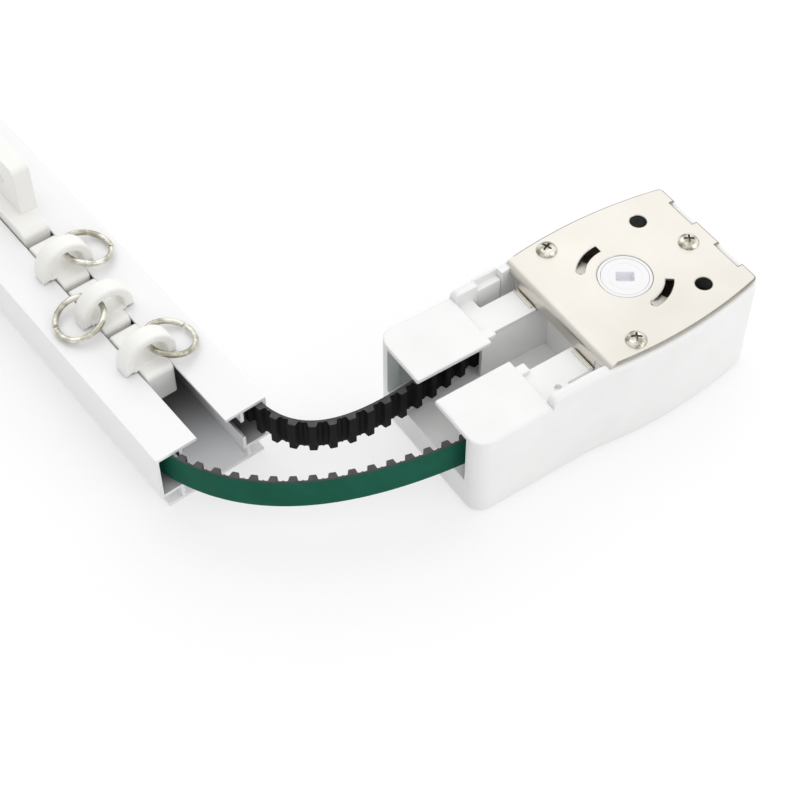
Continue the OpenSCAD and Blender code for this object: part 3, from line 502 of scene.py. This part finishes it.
# faces inside the lane and on the belt shelves take the darker, fading finishes: painted shade
for face in rail.data.polygons:
    across, up = abs(face.center.x / MM + corner_x), face.center.z / MM
    shelf = 9.2 < across < 16.4 and 5.2 < up < ceiling
    lane = across < 9.95 and 0.9 < up < ceiling
    runs_along = abs(face.normal.y) < 0.5
    if runs_along and (shelf or lane):
        face.material_index = 2 if shelf else 1
dress(rail, [rail_coat, lane_painted_shade, shelf_painted_shade], "track", "coated_rail", "rail")

# %% [markdown]
# The belt runs in a loop: straight in the rail, round both pulleys, and over two Bezier corners
# between the rail's mouth and the head, where it also climbs a little. The loop is laid out as a
# list of points with the distance gone at each, so that any place on it can be looked up by
# length.

# %% Path of the belt
pitch = 5
pulley_r, return_y = 19 * pitch / (2 * math.pi), corner_y + rail_l + 22
belt_low, belt_high = 9.5, 14.3
outer_in, outer_hold, outer_reach, outer_dip = 20, 68, 36, 2
inner_in, inner_hold, inner_reach = 3, 35.5, 43.5
bend_steps, wrap_steps = 400, 240
turn = Matrix.Rotation(head_turn, 2)
outer_x, inner_x = -corner_x - pulley_r, -corner_x + pulley_r
outer_run = [Vector((outer_x, corner_y + outer_in)),
             Vector((outer_x, corner_y + outer_in - outer_hold)),
             turn @ Vector((-outer_reach, -pulley_r - outer_dip)),
             turn @ Vector((0, -pulley_r))]
inner_run = [turn @ Vector((0, pulley_r)),
             turn @ Vector((-inner_reach, pulley_r)),
             Vector((inner_x, corner_y + inner_in - inner_hold)),
             Vector((inner_x, corner_y + inner_in))]


def on_curve(p, k):
    m = 1 - k
    return m ** 3 * p[0] + 3 * m ** 2 * k * p[1] + 3 * m * k ** 2 * p[2] + k ** 3 * p[3]


def eased(f):
    f = min(1, max(0, f))
    return f * f * (3 - 2 * f)


def climb(run, first, last):
    places = [on_curve(run, k / bend_steps) for k in range(bend_steps + 1)]
    gone = [0.0]
    for p, q in zip(places, places[1:]):
        gone.append(gone[-1] + (q - p).length)
    rise = [first + (last - first) * eased(g / gone[-1]) for g in gone]
    return [(p.x, p.y, z) for p, z in zip(places, rise)][1:]


def wrap(x, y, start, z):
    half_turn = arc(x, y, pulley_r, start, start + math.pi, wrap_steps)
    return [(*spot, z) for spot in half_turn[1:]]


loop = [(outer_x, return_y, belt_low), (outer_x, outer_run[0].y, belt_low)]
loop += climb(outer_run, belt_low, belt_high)
loop += wrap(0, 0, head_turn - math.pi / 2, belt_high)
loop += climb(inner_run, belt_high, belt_low)
loop += [(inner_x, return_y, belt_low)]
loop += wrap(-corner_x, return_y, 0, belt_low)
marks = [0.0]
for p, q in zip(loop, loop[1:]):
    marks.append(marks[-1] + math.dist(p[:2], q[:2]))
belt_l = marks[-1]


def on_belt(s):
    s %= belt_l
    i = min(bisect.bisect_right(marks, s) - 1, len(loop) - 2)
    p, q = Vector(loop[i]), Vector(loop[i + 1])
    f = (s - marks[i]) / max(1e-9, marks[i + 1] - marks[i])
    along = (q - p).xy.normalized()
    return p.lerp(q, f), along


print("belt length mm", round(belt_l, 1))

# %% [markdown]
# It is a toothed timing belt: black rubber teeth moulded on a body with a green cloth back.
# Walking along the loop, a small section of six points is set at each step. Teeth, and the low
# ridge between them, are just changes of depth. Each side of the section has its own finish.

# %% Belt
belt_w, half_body, cloth_t = 10.0, 0.5, 0.4
valley, root, ridge, shoulder, tip = -0.34, -0.22, -0.08, 0.98, 1.17
tooth = [(-1.44, valley), (-1.28, root), (-0.96, shoulder), (-0.8, tip), (0.8, tip),
         (0.96, shoulder), (1.28, root), (1.44, valley), (2.2, valley), (2.5, ridge),
         (2.8, valley)]
teeth = round(belt_l / pitch)
step = belt_l / teeth


def belt_section(s, depth):
    p, along = on_belt(s)
    inward = Vector((-along.y, along.x))
    cloth, rubber = -half_body + cloth_t, half_body + depth
    corners = ((-half_body, 0), (-half_body, 1), (cloth, 1), (rubber, 1), (rubber, 0), (cloth, 0))
    points = []
    for reach, high in corners:
        spot = p.xy + inward * reach
        points.append((spot.x, spot.y, p.z + belt_w * high))
    return points


sections = [belt_section(i * step + shift * step / pitch, depth)
            for i in range(teeth) for shift, depth in tooth]
belt_form = skinned(sections, loop=True, looks=(0, 3, 2, 1, 2, 3))
belt = assembled("toothed_belt", [belt_form], crease=30)
dress(belt, [belt_cloth, belt_teeth_rubber, belt_cut_edge, belt_cloth_edge], "track", "belt_rubber",
      "belt")
print("belt teeth", teeth, "pitch", round(step, 3))

# %% [markdown]
# The drive head is one white injection moulding. Seen from above its sides bow out behind the
# neck, so one function gives the half width at any place, and another follows it from the front
# corner to the back corner. A wall is a section carried along such a line, with a rounded outer
# edge and a fine groove along its top.

# %% Outline and walls of the head
neck_front, neck_back, plate_front, head_back = -63.9, -40.5, -22.9, 29.8
widest_x, widest_y, bow_rate = -2.5654, 24.8, 0.0036276
neck_half, swell, swell_l = 22.9, 0.4, 5.4226


def side_at(x):
    if x > plate_front:
        return widest_y - bow_rate * (x - widest_x) ** 2
    return neck_half + swell * max(0.0, (x - plate_front + swell_l) / swell_l) ** 2


def head_side(front, front_r, back_r, inset):
    x0, x1 = front + front_r, head_back - inset - back_r
    lean = math.atan(2 * bow_rate * (x1 - widest_x))
    x2 = x1 + back_r * math.sin(lean)
    y0, y1 = side_at(front) - inset, side_at(x2) - inset - back_r * math.cos(lean)
    count = round((x2 - x0) / 2)
    line = []
    if front_r > 0:
        line += arc(x0, y0 - front_r, front_r, math.pi, math.pi / 2, 9)[:-1]
    stops = [x0 + (x2 - x0) * i / count for i in range(count)]
    line += [(x, side_at(x) - inset) for x in stops]
    line += arc(x1, y1, back_r, math.pi / 2 - lean, 0, 8)
    return line


def wall(path, section_at, outer_at, inner, groove=0.0):
    sections = []
    foot, least_flat = [(1.0, 0), (0.3, 0.3), (0, 1.0)], 0.35
    quarter = [math.radians(a) for a in (22.5, 45, 67.5, 90)]
    for i, (x, y) in enumerate(path):
        before, after = path[max(0, i - 1)], path[min(len(path) - 1, i + 1)]
        along = Vector((after[0] - before[0], after[1] - before[1])).normalized()
        inward = Vector((-along.y, along.x))
        thick, top = section_at(x, y)
        outer = min(outer_at(x), thick - inner - least_flat)
        edge_low = top - outer
        profile = foot + [(0, edge_low)]
        profile += [(outer - outer * math.cos(a), edge_low + outer * math.sin(a)) for a in quarter]
        profile += [(outer + 0.06, top), (outer + 0.16, top - groove), (outer + 0.26, top)]
        profile += [(thick - inner + inner * math.sin(a), top - inner + inner * math.cos(a))
                    for a in [0.0] + quarter]
        profile += [(thick, 0)]
        sections.append([(x + inward.x * u, y + inward.y * u, z) for u, z in profile])
    return skinned(sections)


def both_sides(line):
    return [(x, -y) for x, y in line] + line[::-1]


print("head width mm", round(2 * widest_y, 1), "length mm", round(head_back - neck_front, 1))

# %% [markdown]
# Now the moulding is put together. The rim wall runs round the box and ends in a rounded nose at
# the neck. The neck has lower walls with flat flanges on top, and a deck on each side of the open
# cavity. Shelves and thin walls close the trenches beside the decks, and posts take the screws.

# %% Drive head housing
neck_top, roof_low, rim_z, rim_top, deck_z, neck_floor = 28.8, 27.5, 31.6, 31.2, 26.6, 10.4
hair = 0.02
rim_t, ledge_rim_t, nose_r = 3.0, 0.9, 1.4
ledge_from, ledge_to = -33.5, -25.8
neck_t, neck_in, step_from = 4.4, 17.6, -41.0
deck_in, deck_out, lip_half, well_out = 7.7, 20.2, 16.6, 8.9
well_back, fill_from = -17.5, -60
post_r, bore_r = 2.6, 1.45
screw_spots = ((-11.6, 19, 20), (-11.6, -19, -34), (21.7, 0, 55))


def rim_section(x, y):
    ahead = max(0.0, nose_r - (x - neck_back))
    beside_ledge = y > 0 and ledge_from - hair < x < ledge_to + hair
    top = rim_top - nose_r + math.sqrt(nose_r ** 2 - ahead ** 2)
    return ledge_rim_t if beside_ledge else rim_t, top


def neck_section(x, y, fall=1.5):
    return neck_t, neck_top - fall * max(0.0, x - step_from) ** 2


def neck_edge(x, front_r=0.5, gain=0.6, run=14):
    return front_r + gain * min(1.0, (x - neck_front) / run)


outline = head_side(neck_front, 4.5, 5, hair)
stops = [neck_back + d for d in (0, 0.05, 0.2, 0.5, 0.9, nose_r)]
stops += [ledge_from - 0.05, ledge_from, ledge_to, ledge_to + 0.05]
corner_from = 20
rim_line = [(x, side_at(x) - hair) for x in stops]
rim_line = sorted(rim_line + [p for p in outline if neck_back + 1.5 < p[0] < corner_from])
rim_line += [p for p in outline if p[0] >= corner_from]
shell = [wall(both_sides(rim_line), rim_section, lambda x: 1.3, 0.3, groove=0.1)]

neck_line = [(neck_front, neck_in)] + [p for p in outline if p[0] < step_from - 0.2]
neck_line += [(x, side_at(x) - hair) for x in (step_from, -40.7, neck_back)]
front = neck_front + 0.004
for side in (-1, 1):
    course = [(x, side * y) for x, y in neck_line][::-side]
    shell.append(wall(course, neck_section, neck_edge, 0.01))
    shell.append(box(fill_from, neck_back, *span(side, neck_in, 21.5), 0.1, neck_top - 0.3, 0))
    flange = [(front, 3.8), (front, 18.2), (-61.5, 21), (neck_back, 21), (neck_back, 3.8)]
    flange = [(x, side * y) for x, y in flange][::side]
    shell.append(block(flange, roof_low, neck_top - 0.004, 0.45, keep_low=True, steps=3))
    shell.append(box(neck_back - 0.1, -37.4, *span(side, 5.8, well_out), 26.0, 28.0, 0.45))
    trench = -31.3 if side < 0 else -35.0
    deck = [(neck_back, deck_in), (neck_back, deck_out), (trench, deck_out), (trench, lip_half),
            (plate_front, lip_half), (plate_front, deck_in)]
    deck = rounded([(x, side * y) for x, y in deck][::-side], 0.3, 3)
    vents = [circle(-34.3, -lip_half, 1.0, 28)] if side < 0 else []
    shell.append(poured(deck, vents, deck_z - 1.4, deck_z, 0.2))
    shell.append(box(neck_back, plate_front, *span(side, deck_in, well_out), 6, deck_z - 0.1, 0.2))
    shell.append(box(plate_front - 0.4, -17.2, *span(side, deck_in, well_out), 2, 25.7, 0.2))

near_trench_shelf = (-36.5, -22.0, -20.2, -15.4, 24.6, 25.4, 0)
far_trench_shelf = (-35.2, -19.6, 16.4, 20.6, 19.8, 20.7, 0)
far_trench_wall = (-35.2, -19.6, 16.3, 16.58, 19.9, 25.5, 0)
far_trench_end = (-20.4, -19.4, 16.4, 20.8, 19.9, 31.4, 0.1)
near_trench_end = (-22.5, -21.5, -21.0, -16.5, 24.6, 30.2, 0.1)
flange_crease = (neck_front + 0.5, neck_back - 0.6, -11.8, -4.4, 28.0, neck_top + 0.05, 0.04)
ledge = (ledge_from, ledge_to, 19.9, 22.3, 20, 29, 0.35)
well_end = (-18.6, -17.42, -8, 8, 2, 25.6, 0.2)
well_floor = (plate_front - 1, well_back, -8, 8, 2, neck_floor - 0.004, 0)
shell += [box(*sizes) for sizes in (near_trench_shelf, far_trench_shelf, far_trench_wall,
                                    far_trench_end, near_trench_end, flange_crease, ledge, well_end,
                                    well_floor)]

floor_line = head_side(plate_front - 0.5, 0, 4, 1.1)
shell.append(block(both_sides(floor_line), 0.05, 2.2, soft=0))
neck_base = box(neck_front + 0.01, plate_front, -18, 18, 0.02, neck_floor, 0)
shell.append(soften(neck_base, 1.0, 4,
                    lambda p: p.x < neck_front + 0.5 and abs(p.y) < 1 and p.z < 1))
for side in (-1, 1):
    shell.append(box(fill_from, plate_front, *span(side, 17.9, 21), 0.1, neck_floor, 0))
shell.append(turned([(0, 2.15), (6.05, 2.15), (6.05, 9.9), (8.6, 9.9), (8.6, 2.1), (0, 2.1)]))


def screw_post(low, bore_low, top):
    bore = [(0, bore_low), (bore_r, bore_low), (bore_r, top)]
    return turned(bore + [(post_r, top), (post_r, low), (0, low)], 24)


shell += [moved(screw_post(2.1, 22, rim_z - 0.05), x, y) for x, y, angle in screw_spots]
housing = assembled("head_housing", shell, to_head)
dress(housing, [white_moulding], "track", "white_plastic", "drive_housing")

# %% [markdown]
# The head is closed by a pressed steel sheet with a satin finish that reads warm next to the
# white plastic. It is cut flat with its holes, arc slots and notches, then its front edge is
# folded down over the decks on a small radius, deeper in the middle than at the sides. A bent
# tongue slopes down in half of each arc slot. The cut rim round the outside has a painted dark
# reflection, and the sheet a painted reflection that darkens it a little towards the near side.

# %% Top plate
sheet_t, sheet_inset, fold_r, cut_r = 1.0, 1.22, 2.6, 0.45
slot_r, slot_half, fold_end = 11.8, 1.1, 22.2
hub_hole_r, motor_x, motor_y, motor_r = 7.45, 15.5, 13.7, 2.3
strip_from, strip_to, strip_low, strip_high = -24.3, -23.2, deck_z + 0.03, deck_z + 0.45
sheet_top = rim_z + sheet_t


def arc_slot(square, far):
    turn_way = 1 if far > square else -1
    a, b = math.radians(square), math.radians(far)
    line = arc(0, 0, slot_r + slot_half, a, b, 16)
    middle = (slot_r * math.cos(b), slot_r * math.sin(b))
    line += arc(*middle, slot_half, b, b + turn_way * math.pi, 8)[1:-1]
    line += arc(0, 0, slot_r - slot_half, b, a, 16)
    return line[::turn_way]


def tongue(start, end, top=32.45, low=30.4, inner_r=10.6, outer_r=13.0, thick=0.8, steps=12):
    sections = []
    for k in range(steps + 1):
        a = math.radians(start + (end - start) * k / steps)
        z = top + (low - top) * k / steps
        profile = ((inner_r, z), (outer_r, z), (outer_r, z - thick), (inner_r, z - thick))
        sections.append([(r * math.cos(a), r * math.sin(a), h) for r, h in profile])
    return skinned(sections)


def fold(y0, y1, low):
    x, z = plate_front + fold_r, sheet_top - fold_r
    line = arc(x, z, fold_r, math.pi / 2, math.pi, 9)
    line += [(plate_front, low), (plate_front + sheet_t, low)]
    line += arc(x, z, fold_r - sheet_t, math.pi, math.pi / 2, 9)
    form = block(line[::-1], -y1, -y0, 0)
    form.transform(stand_up)
    return form


plate_line = head_side(plate_front + fold_r - cut_r, 0, 1.5, sheet_inset)
edge_x = head_back - sheet_inset
notch_y, notch_half, notch_in = 9.4, 4.6, 1.5
notches = []
for y in (notch_y, -notch_y):
    notches += [(edge_x, y + notch_half), (edge_x - notch_in, y + notch_half),
                (edge_x - notch_in, y - notch_half), (edge_x, y - notch_half)]
plate_edge = plate_line + notches + [(x, -y) for x, y in plate_line[::-1]]
holes = [circle(0, 0, hub_hole_r, 64), arc_slot(89, 137), arc_slot(321, 273),
         circle(motor_x, motor_y, motor_r, 40), circle(motor_x, -motor_y, motor_r, 40)]
sheet = [poured(plate_edge[::-1], holes, rim_z, sheet_top, cut_r)]
sheet.append(fold(-lip_half, lip_half, deck_z + 0.3))
for side in (-1, 1):
    sheet.append(fold(*span(side, lip_half, fold_end), rim_z - 2.0))
    strip = span(side, well_out, lip_half)
    sheet.append(box(strip_from, strip_to, *strip, strip_low, strip_high, 0.1))
sheet += [tongue(142, 112), tongue(268, 298)]
plate = assembled("top_sheet", sheet, to_head, crease=30)
# the cut rim's faces take the dark steel: a painted dark reflection
for face in plate.data.polygons:
    spot = to_head.inverted() @ face.center / MM
    outside = abs(spot.y) > side_at(spot.x) - 1.9 or spot.x > edge_x - 1.95
    behind_fold = spot.x > plate_front + fold_r + 0.05
    on_rim = spot.z > 32.1 and 0.1 < face.normal.z < 0.995
    if outside and behind_fold and on_rim:
        face.material_index = 1
dress(plate, [satin_sheet, painted_dark_steel], "track", "satin_steel", "top_plate")

# %% [markdown]
# Three pan-head screws hold the sheet. A head is turned from a profile and its cross recess is
# cut with a boolean, which is how a punch really forms it, and the recess is marked for a darker
# steel, painted shade in the recess. The same screw closes the return end, so the helper is kept.

# %% Screws
dome = [(0, 1.62), (0.9, 1.58), (1.7, 1.38), (2.35, 0.98), (2.75, 0.52), (2.92, 0.2), (2.92, 0.02)]
shank_r, shank_l = 1.4, 9
cross_l, cross_w, cross_low, cross_high = 1.8, 0.32, 0.55, 2.2


def carved(form, cutter):
    made = []
    for part in (form, cutter):
        mesh = bpy.data.meshes.new("carving")
        part.to_mesh(mesh)
        part.free()
        holder = bpy.data.objects.new("carving", mesh)
        scene.collection.objects.link(holder)
        made.append(holder)
    cut = made[0].modifiers.new("recess", "BOOLEAN")
    cut.operation = "DIFFERENCE"
    cut.solver = "EXACT"
    cut.object = made[1]
    result = taken(made[0])
    for holder in made:
        bpy.data.objects.remove(holder)
    return result


def dome_height(reach):
    reach_in = min(reach, 2.9)
    (r0, z0), (r1, z1) = next(pair for pair in zip(dome, dome[1:]) if pair[1][0] >= reach_in)
    return z0 + (z1 - z0) * (reach - r0) / (r1 - r0)


def screw(x, y, z, angle):
    form = turned(dome + [(shank_r, 0), (shank_r, -shank_l), (0, -shank_l)], 40)
    for half_x, half_y in ((cross_l, cross_w), (cross_w, cross_l)):
        cutter = box(-half_x, half_x, -half_y, half_y, cross_low, cross_high, 0)
        for v in cutter.verts:
            if v.co.z < 1 * MM:
                v.co.x *= 0.6 if half_x > 1 else 0.8
                v.co.y *= 0.6 if half_y > 1 else 0.8
        form = carved(form, cutter)
    # faces down in the cross recess take the dark steel: painted shade
    for face in form.faces:
        middle = face.calc_center_median() / MM
        reach = middle.xy.length
        sunk = 0.5 < middle.z < dome_height(reach) - 0.08 and reach < 2.1
        face.material_index = 1 if sunk else 0
    form.transform(Matrix.Rotation(math.radians(angle), 4, "Z"))
    return moved(form, x, y, z)


heads = [screw(x, y, sheet_top, angle) for x, y, angle in screw_spots]
screws = assembled("sheet_screws", heads, to_head)
dress(screws, [screw_steel, painted_dark_steel], "track", "bright_steel", "plate_screws")

# %% [markdown]
# The hub is pale plastic with a rectangular socket for the motor's tang. Rings of points are set
# from the inside out: the socket's corners are found along the same rays as the circles, so every
# ring has the same number of points and can be joined to the next. The hub rides the drive rotor
# and turns with the belt.

# %% Drive hub
hub_top, rays = 32.3, 96
socket_x, socket_y, socket_r = 2.45, 1.6, 2.76
socket_turn = math.radians(-34)


def socket_reach(angle, grow):
    along = (socket_x + grow) / max(1e-9, abs(math.cos(angle)))
    across = (socket_y + grow) / max(1e-9, abs(math.sin(angle)))
    return min(along, across, socket_r + grow)


form = bmesh.new()
steps = [("socket", 0, hub_top - 3.0), ("socket", 0, hub_top - 0.15), ("socket", 0.12, hub_top),
         ("round", 4.4, hub_top), ("round", 4.5, hub_top - 0.08), ("round", 4.7, hub_top - 0.08),
         ("round", 4.8, hub_top), ("round", 6.4, hub_top), ("round", 6.45, hub_top - 0.05),
         ("round", 6.45, 13.2)]
rings = []
for kind, size, z in steps:
    ring = []
    for k in range(rays):
        a = 2 * math.pi * k / rays
        r = socket_reach(a, size) if kind == "socket" else size
        ring.append(form.verts.new((r * math.cos(a) * MM, r * math.sin(a) * MM, z * MM)))
    rings.append(ring)
for i, (ring, after) in enumerate(zip(rings, rings[1:])):
    for k in range(rays):
        n = (k + 1) % rays
        face = form.faces.new((ring[k], after[k], after[n], ring[n]))
        face.material_index = 1 if i == 0 else 0
form.faces.new(rings[0]).material_index = 1
form.faces.new(rings[-1][::-1])
bmesh.ops.recalc_face_normals(form, faces=form.faces[:])
journal = turned([(0, 2.5), (3.9, 2.5), (3.9, 13.3), (0, 13.3)], 48)
hub = assembled("socket_hub", [form, journal], to_head @ Matrix.Rotation(socket_turn, 4, "Z"))
dress(hub, [hub_plastic, socket_plastic], "drive_rotor", "pale_plastic", "drive_hub")

# %% [markdown]
# A glider is a small white moulding: a block that runs in the lane and an arch with an eyelet
# above the slot. The block is its side outline with rounded top corners; the arch is poured as a
# curve with a hole, because the curve's bevel gives the fat rounded rim that a moulded eyelet
# has. All three are the same moulding.

# %% Gliders
glider_at = {1: 64.2, 2: 43.6, 3: 23.0}
glider_l, runner_low, runner_top, runner_half = 19, 10.9, 21.9, 4.1
bow_r, bow_z, bow_foot = 8, 22.8, 21.1
eye_r, eye_z, eye_low = 4.9, 23.4, 22.2


def glider_form():
    side_line = rounded([(0, runner_low, 0.5), (glider_l, runner_low, 0.5),
                         (glider_l, runner_top, 1.8), (0, runner_top, 1.8)], 0.5, 6)
    lump = block(side_line, -runner_half, runner_half, 0.5, steps=3)
    lump.transform(sideways)
    bow = [(bow_r, bow_foot)] + arc(0, bow_z, bow_r, 0, math.pi, 36) + [(-bow_r, bow_foot)]
    low = math.asin((eye_low - eye_z) / eye_r)
    eye = arc(0, eye_z, eye_r, low, math.pi - low, 40)
    arch = poured(bow, [eye], -9.2, -4.0, 0.75)
    arch.transform(stand_up)
    return [lump, arch]


for number, t in glider_at.items():
    glider = assembled(f"glider_{number}_moulding", glider_form(), to_rail(t))
    dress(glider, [glider_nylon], f"glider_{number}", "white_plastic", f"glider_{number}_body")

# %% [markdown]
# Each eyelet holds a split ring of nickel-plated wire. Because the ring is open, its two ends are
# cut square with a little rounding. It pivots high in the eyelet and lies on the rail, the middle
# one to the other side, so the ring is made flat about its pivot and tilted into place.

# %% Rings
ring_r, wire_r, ring_gap = 6.8, 0.84, 6
pivot_t, pivot_x, pivot_z, lie = 6.6, 1, 25.7, math.radians(15.787)


def split_ring(seam, count=90, sides=16):
    first, last = math.radians(seam + ring_gap / 2), math.radians(seam + 360 - ring_gap / 2)
    ends, end_scale = 0.2 / ring_r, 0.72
    middle = [first + ends + (last - first - 2 * ends) * k / count for k in range(1, count)]
    stations = [(first, end_scale), (first + ends, 1.0)] + [(a, 1.0) for a in middle]
    stations += [(last - ends, 1.0), (last, end_scale)]
    sections = []
    for a, scale in stations:
        wire_line = circle(ring_r, 0, wire_r * scale, sides)
        sections.append([(reach * math.cos(a), reach * math.sin(a), z) for reach, z in wire_line])
    return skinned(sections)


for number, side, seam in ((1, 1, -22), (2, -1, 20), (3, 1, 20)):
    place = to_rail(glider_at[number] + pivot_t)
    place @= Matrix.Translation((side * pivot_x * MM, 0, pivot_z * MM))
    place @= Matrix.Rotation(0 if side > 0 else math.pi, 4, "Y")
    place @= Matrix.Rotation(side * lie, 4, "Y") @ Matrix.Translation((ring_r * MM, 0, 0))
    ring = assembled(f"ring_{number}_wire", [split_ring(seam)], place)
    dress(ring, [bright_wire], f"hook_ring_{number}", "bright_steel", f"ring_{number}")

# %% [markdown]
# The carrier is the piece that the belt pulls. Its block runs in the lane like a long glider, a
# base with sloped ends sits above the slot, and an upright with a hook slot carries the curtain's
# leading edge. An arm reaches sideways to the belt.

# %% Carrier
carrier_at, carrier_l = 84.8, 34
hook_t, hook_z, hook_r, hook_half = 17.5, 31.8, 1.4, 1.6
lump_line = [(0, 10.9), (carrier_l, 10.9), (carrier_l, 21.2), (0, 21.2)]
lump = block(rounded(lump_line, 0.5, 4), -4.05, 4.05, 0.4)
base_line = [(0, 20.5), (carrier_l, 20.5), (carrier_l, 23.1, 1.2), (31.6, 24.3, 1.2),
             (2.4, 24.3, 1.2), (0, 23.1, 1.2)]
base = block(rounded(base_line, 0.3, 5), -4.1, 4.1, 0.6, steps=3)
hook_slot = arc(hook_t + hook_half, hook_z, hook_r, -math.pi / 2, math.pi / 2, 12)
hook_slot += arc(hook_t - hook_half, hook_z, hook_r, math.pi / 2, 3 * math.pi / 2, 12)
upright_line = [(7.5, 23.8), (27.5, 23.8), (27.5, 40.3, 2.0), (7.5, 40.3, 2.0)]
upright = poured(rounded(upright_line, 0.2, 6), [hook_slot], -0.4, 5.2, 0.5)
for form in (lump, base, upright):
    form.transform(sideways)
arm = box(3, 10.5, 11, 23, 10, 15.9, 0.3)
carrier = assembled("carrier_moulding", [lump, base, upright, arm], to_rail(carrier_at))
dress(carrier, [glider_nylon], "carrier", "white_plastic", "carrier_body")

# %% [markdown]
# The return end closes the far end of the rail: two cheeks slip over the rail's sides and a round
# box holds the second pulley. It is the same kind of moulding as the head, so the wall helper is
# used again, and the lid is held by the same screws.

# %% Return end
return_top, return_half, return_t, cheek_l = 22.1, 20.55, 22, 18
lid_top, lid_screw_x, lid_screw_t = return_top + 1.6, 8.9, 3.2
bend = arc(0, return_t, return_half, 0, math.pi, 40)
course = [(return_half, -cheek_l), (return_half, 2)] + bend
course += [(-return_half, 2), (-return_half, -cheek_l)]
ends = [wall(course, lambda x, y: (2.2, return_top), lambda x: 0.3, 0.3)]
floor_bend = [(x * 0.95, return_t + (y - return_t) * 0.95) for x, y in bend]
ends.append(block([(return_half - 1, 0)] + floor_bend + [(1 - return_half, 0)], 0.05, 2.0, 0))
for side in (-1, 1):
    ends.append(box(*span(side, 17.15, 18.6), -cheek_l, 0.3, 0.4, return_top - 0.1, 0.2))
    ends.append(moved(screw_post(1.5, 12.8, return_top - 0.05), side * lid_screw_x, lid_screw_t))
ends.append(box(-8, 8, -cheek_l, 2.6, 1.15, 4.75, 0.3))
axle_post = turned([(0, 1.9), (3.05, 1.9), (3.05, 8.1), (5, 8.1), (5, 1.5), (0, 1.5)], 40)
ends.append(moved(axle_post, 0, return_t))
at_end = to_rail(rail_l)
return_box = assembled("return_box", ends, at_end)
dress(return_box, [white_moulding], "track", "white_plastic", "return_housing")
lid_line = [(return_half, 0)] + bend + [(-return_half, 0)]
lid_form = poured(lid_line, [circle(0, return_t, 3.05, 40)], return_top, lid_top, 0.4)
lid = assembled("return_cover", [lid_form], at_end)
dress(lid, [white_moulding], "track", "white_plastic", "return_lid")
caps = [screw(-lid_screw_x, lid_screw_t, lid_top, 10), screw(lid_screw_x, lid_screw_t, lid_top, 40)]
cover_screws = assembled("cover_screws", caps, at_end)
dress(cover_screws, [screw_steel, painted_dark_steel], "track", "bright_steel", "return_screws")

# %% [markdown]
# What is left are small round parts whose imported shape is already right: bushes, pulleys, axles,
# wheels and the belt jaw. They keep their solids, and only their finish is changed.

# %% Finishes for the carried-over solids
axles = [f"glider_{n}_axle" for n in glider_at]
wheels = [f"glider_{n}_wheels" for n in glider_at]
kept = {
    bearing_bronze: ["lower_bush", "return_bush_ring"],
    hub_plastic: ["upper_bush"],
    dark_pulley: ["drive_pulley", "return_pulley"],
    bright_wire: ["drive_flange_top", "drive_flange_bottom", "return_axle", "carrier_axles",
                  "jaw_screws"] + axles,
    glider_nylon: ["carrier_front_wheels", "carrier_rear_wheels", "belt_jaw"] + wheels,
}
for material, names in kept.items():
    for name in names:
        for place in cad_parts[name].material_slots:
            place.material = material
print("carried over", sum(len(names) for names in kept.values()))
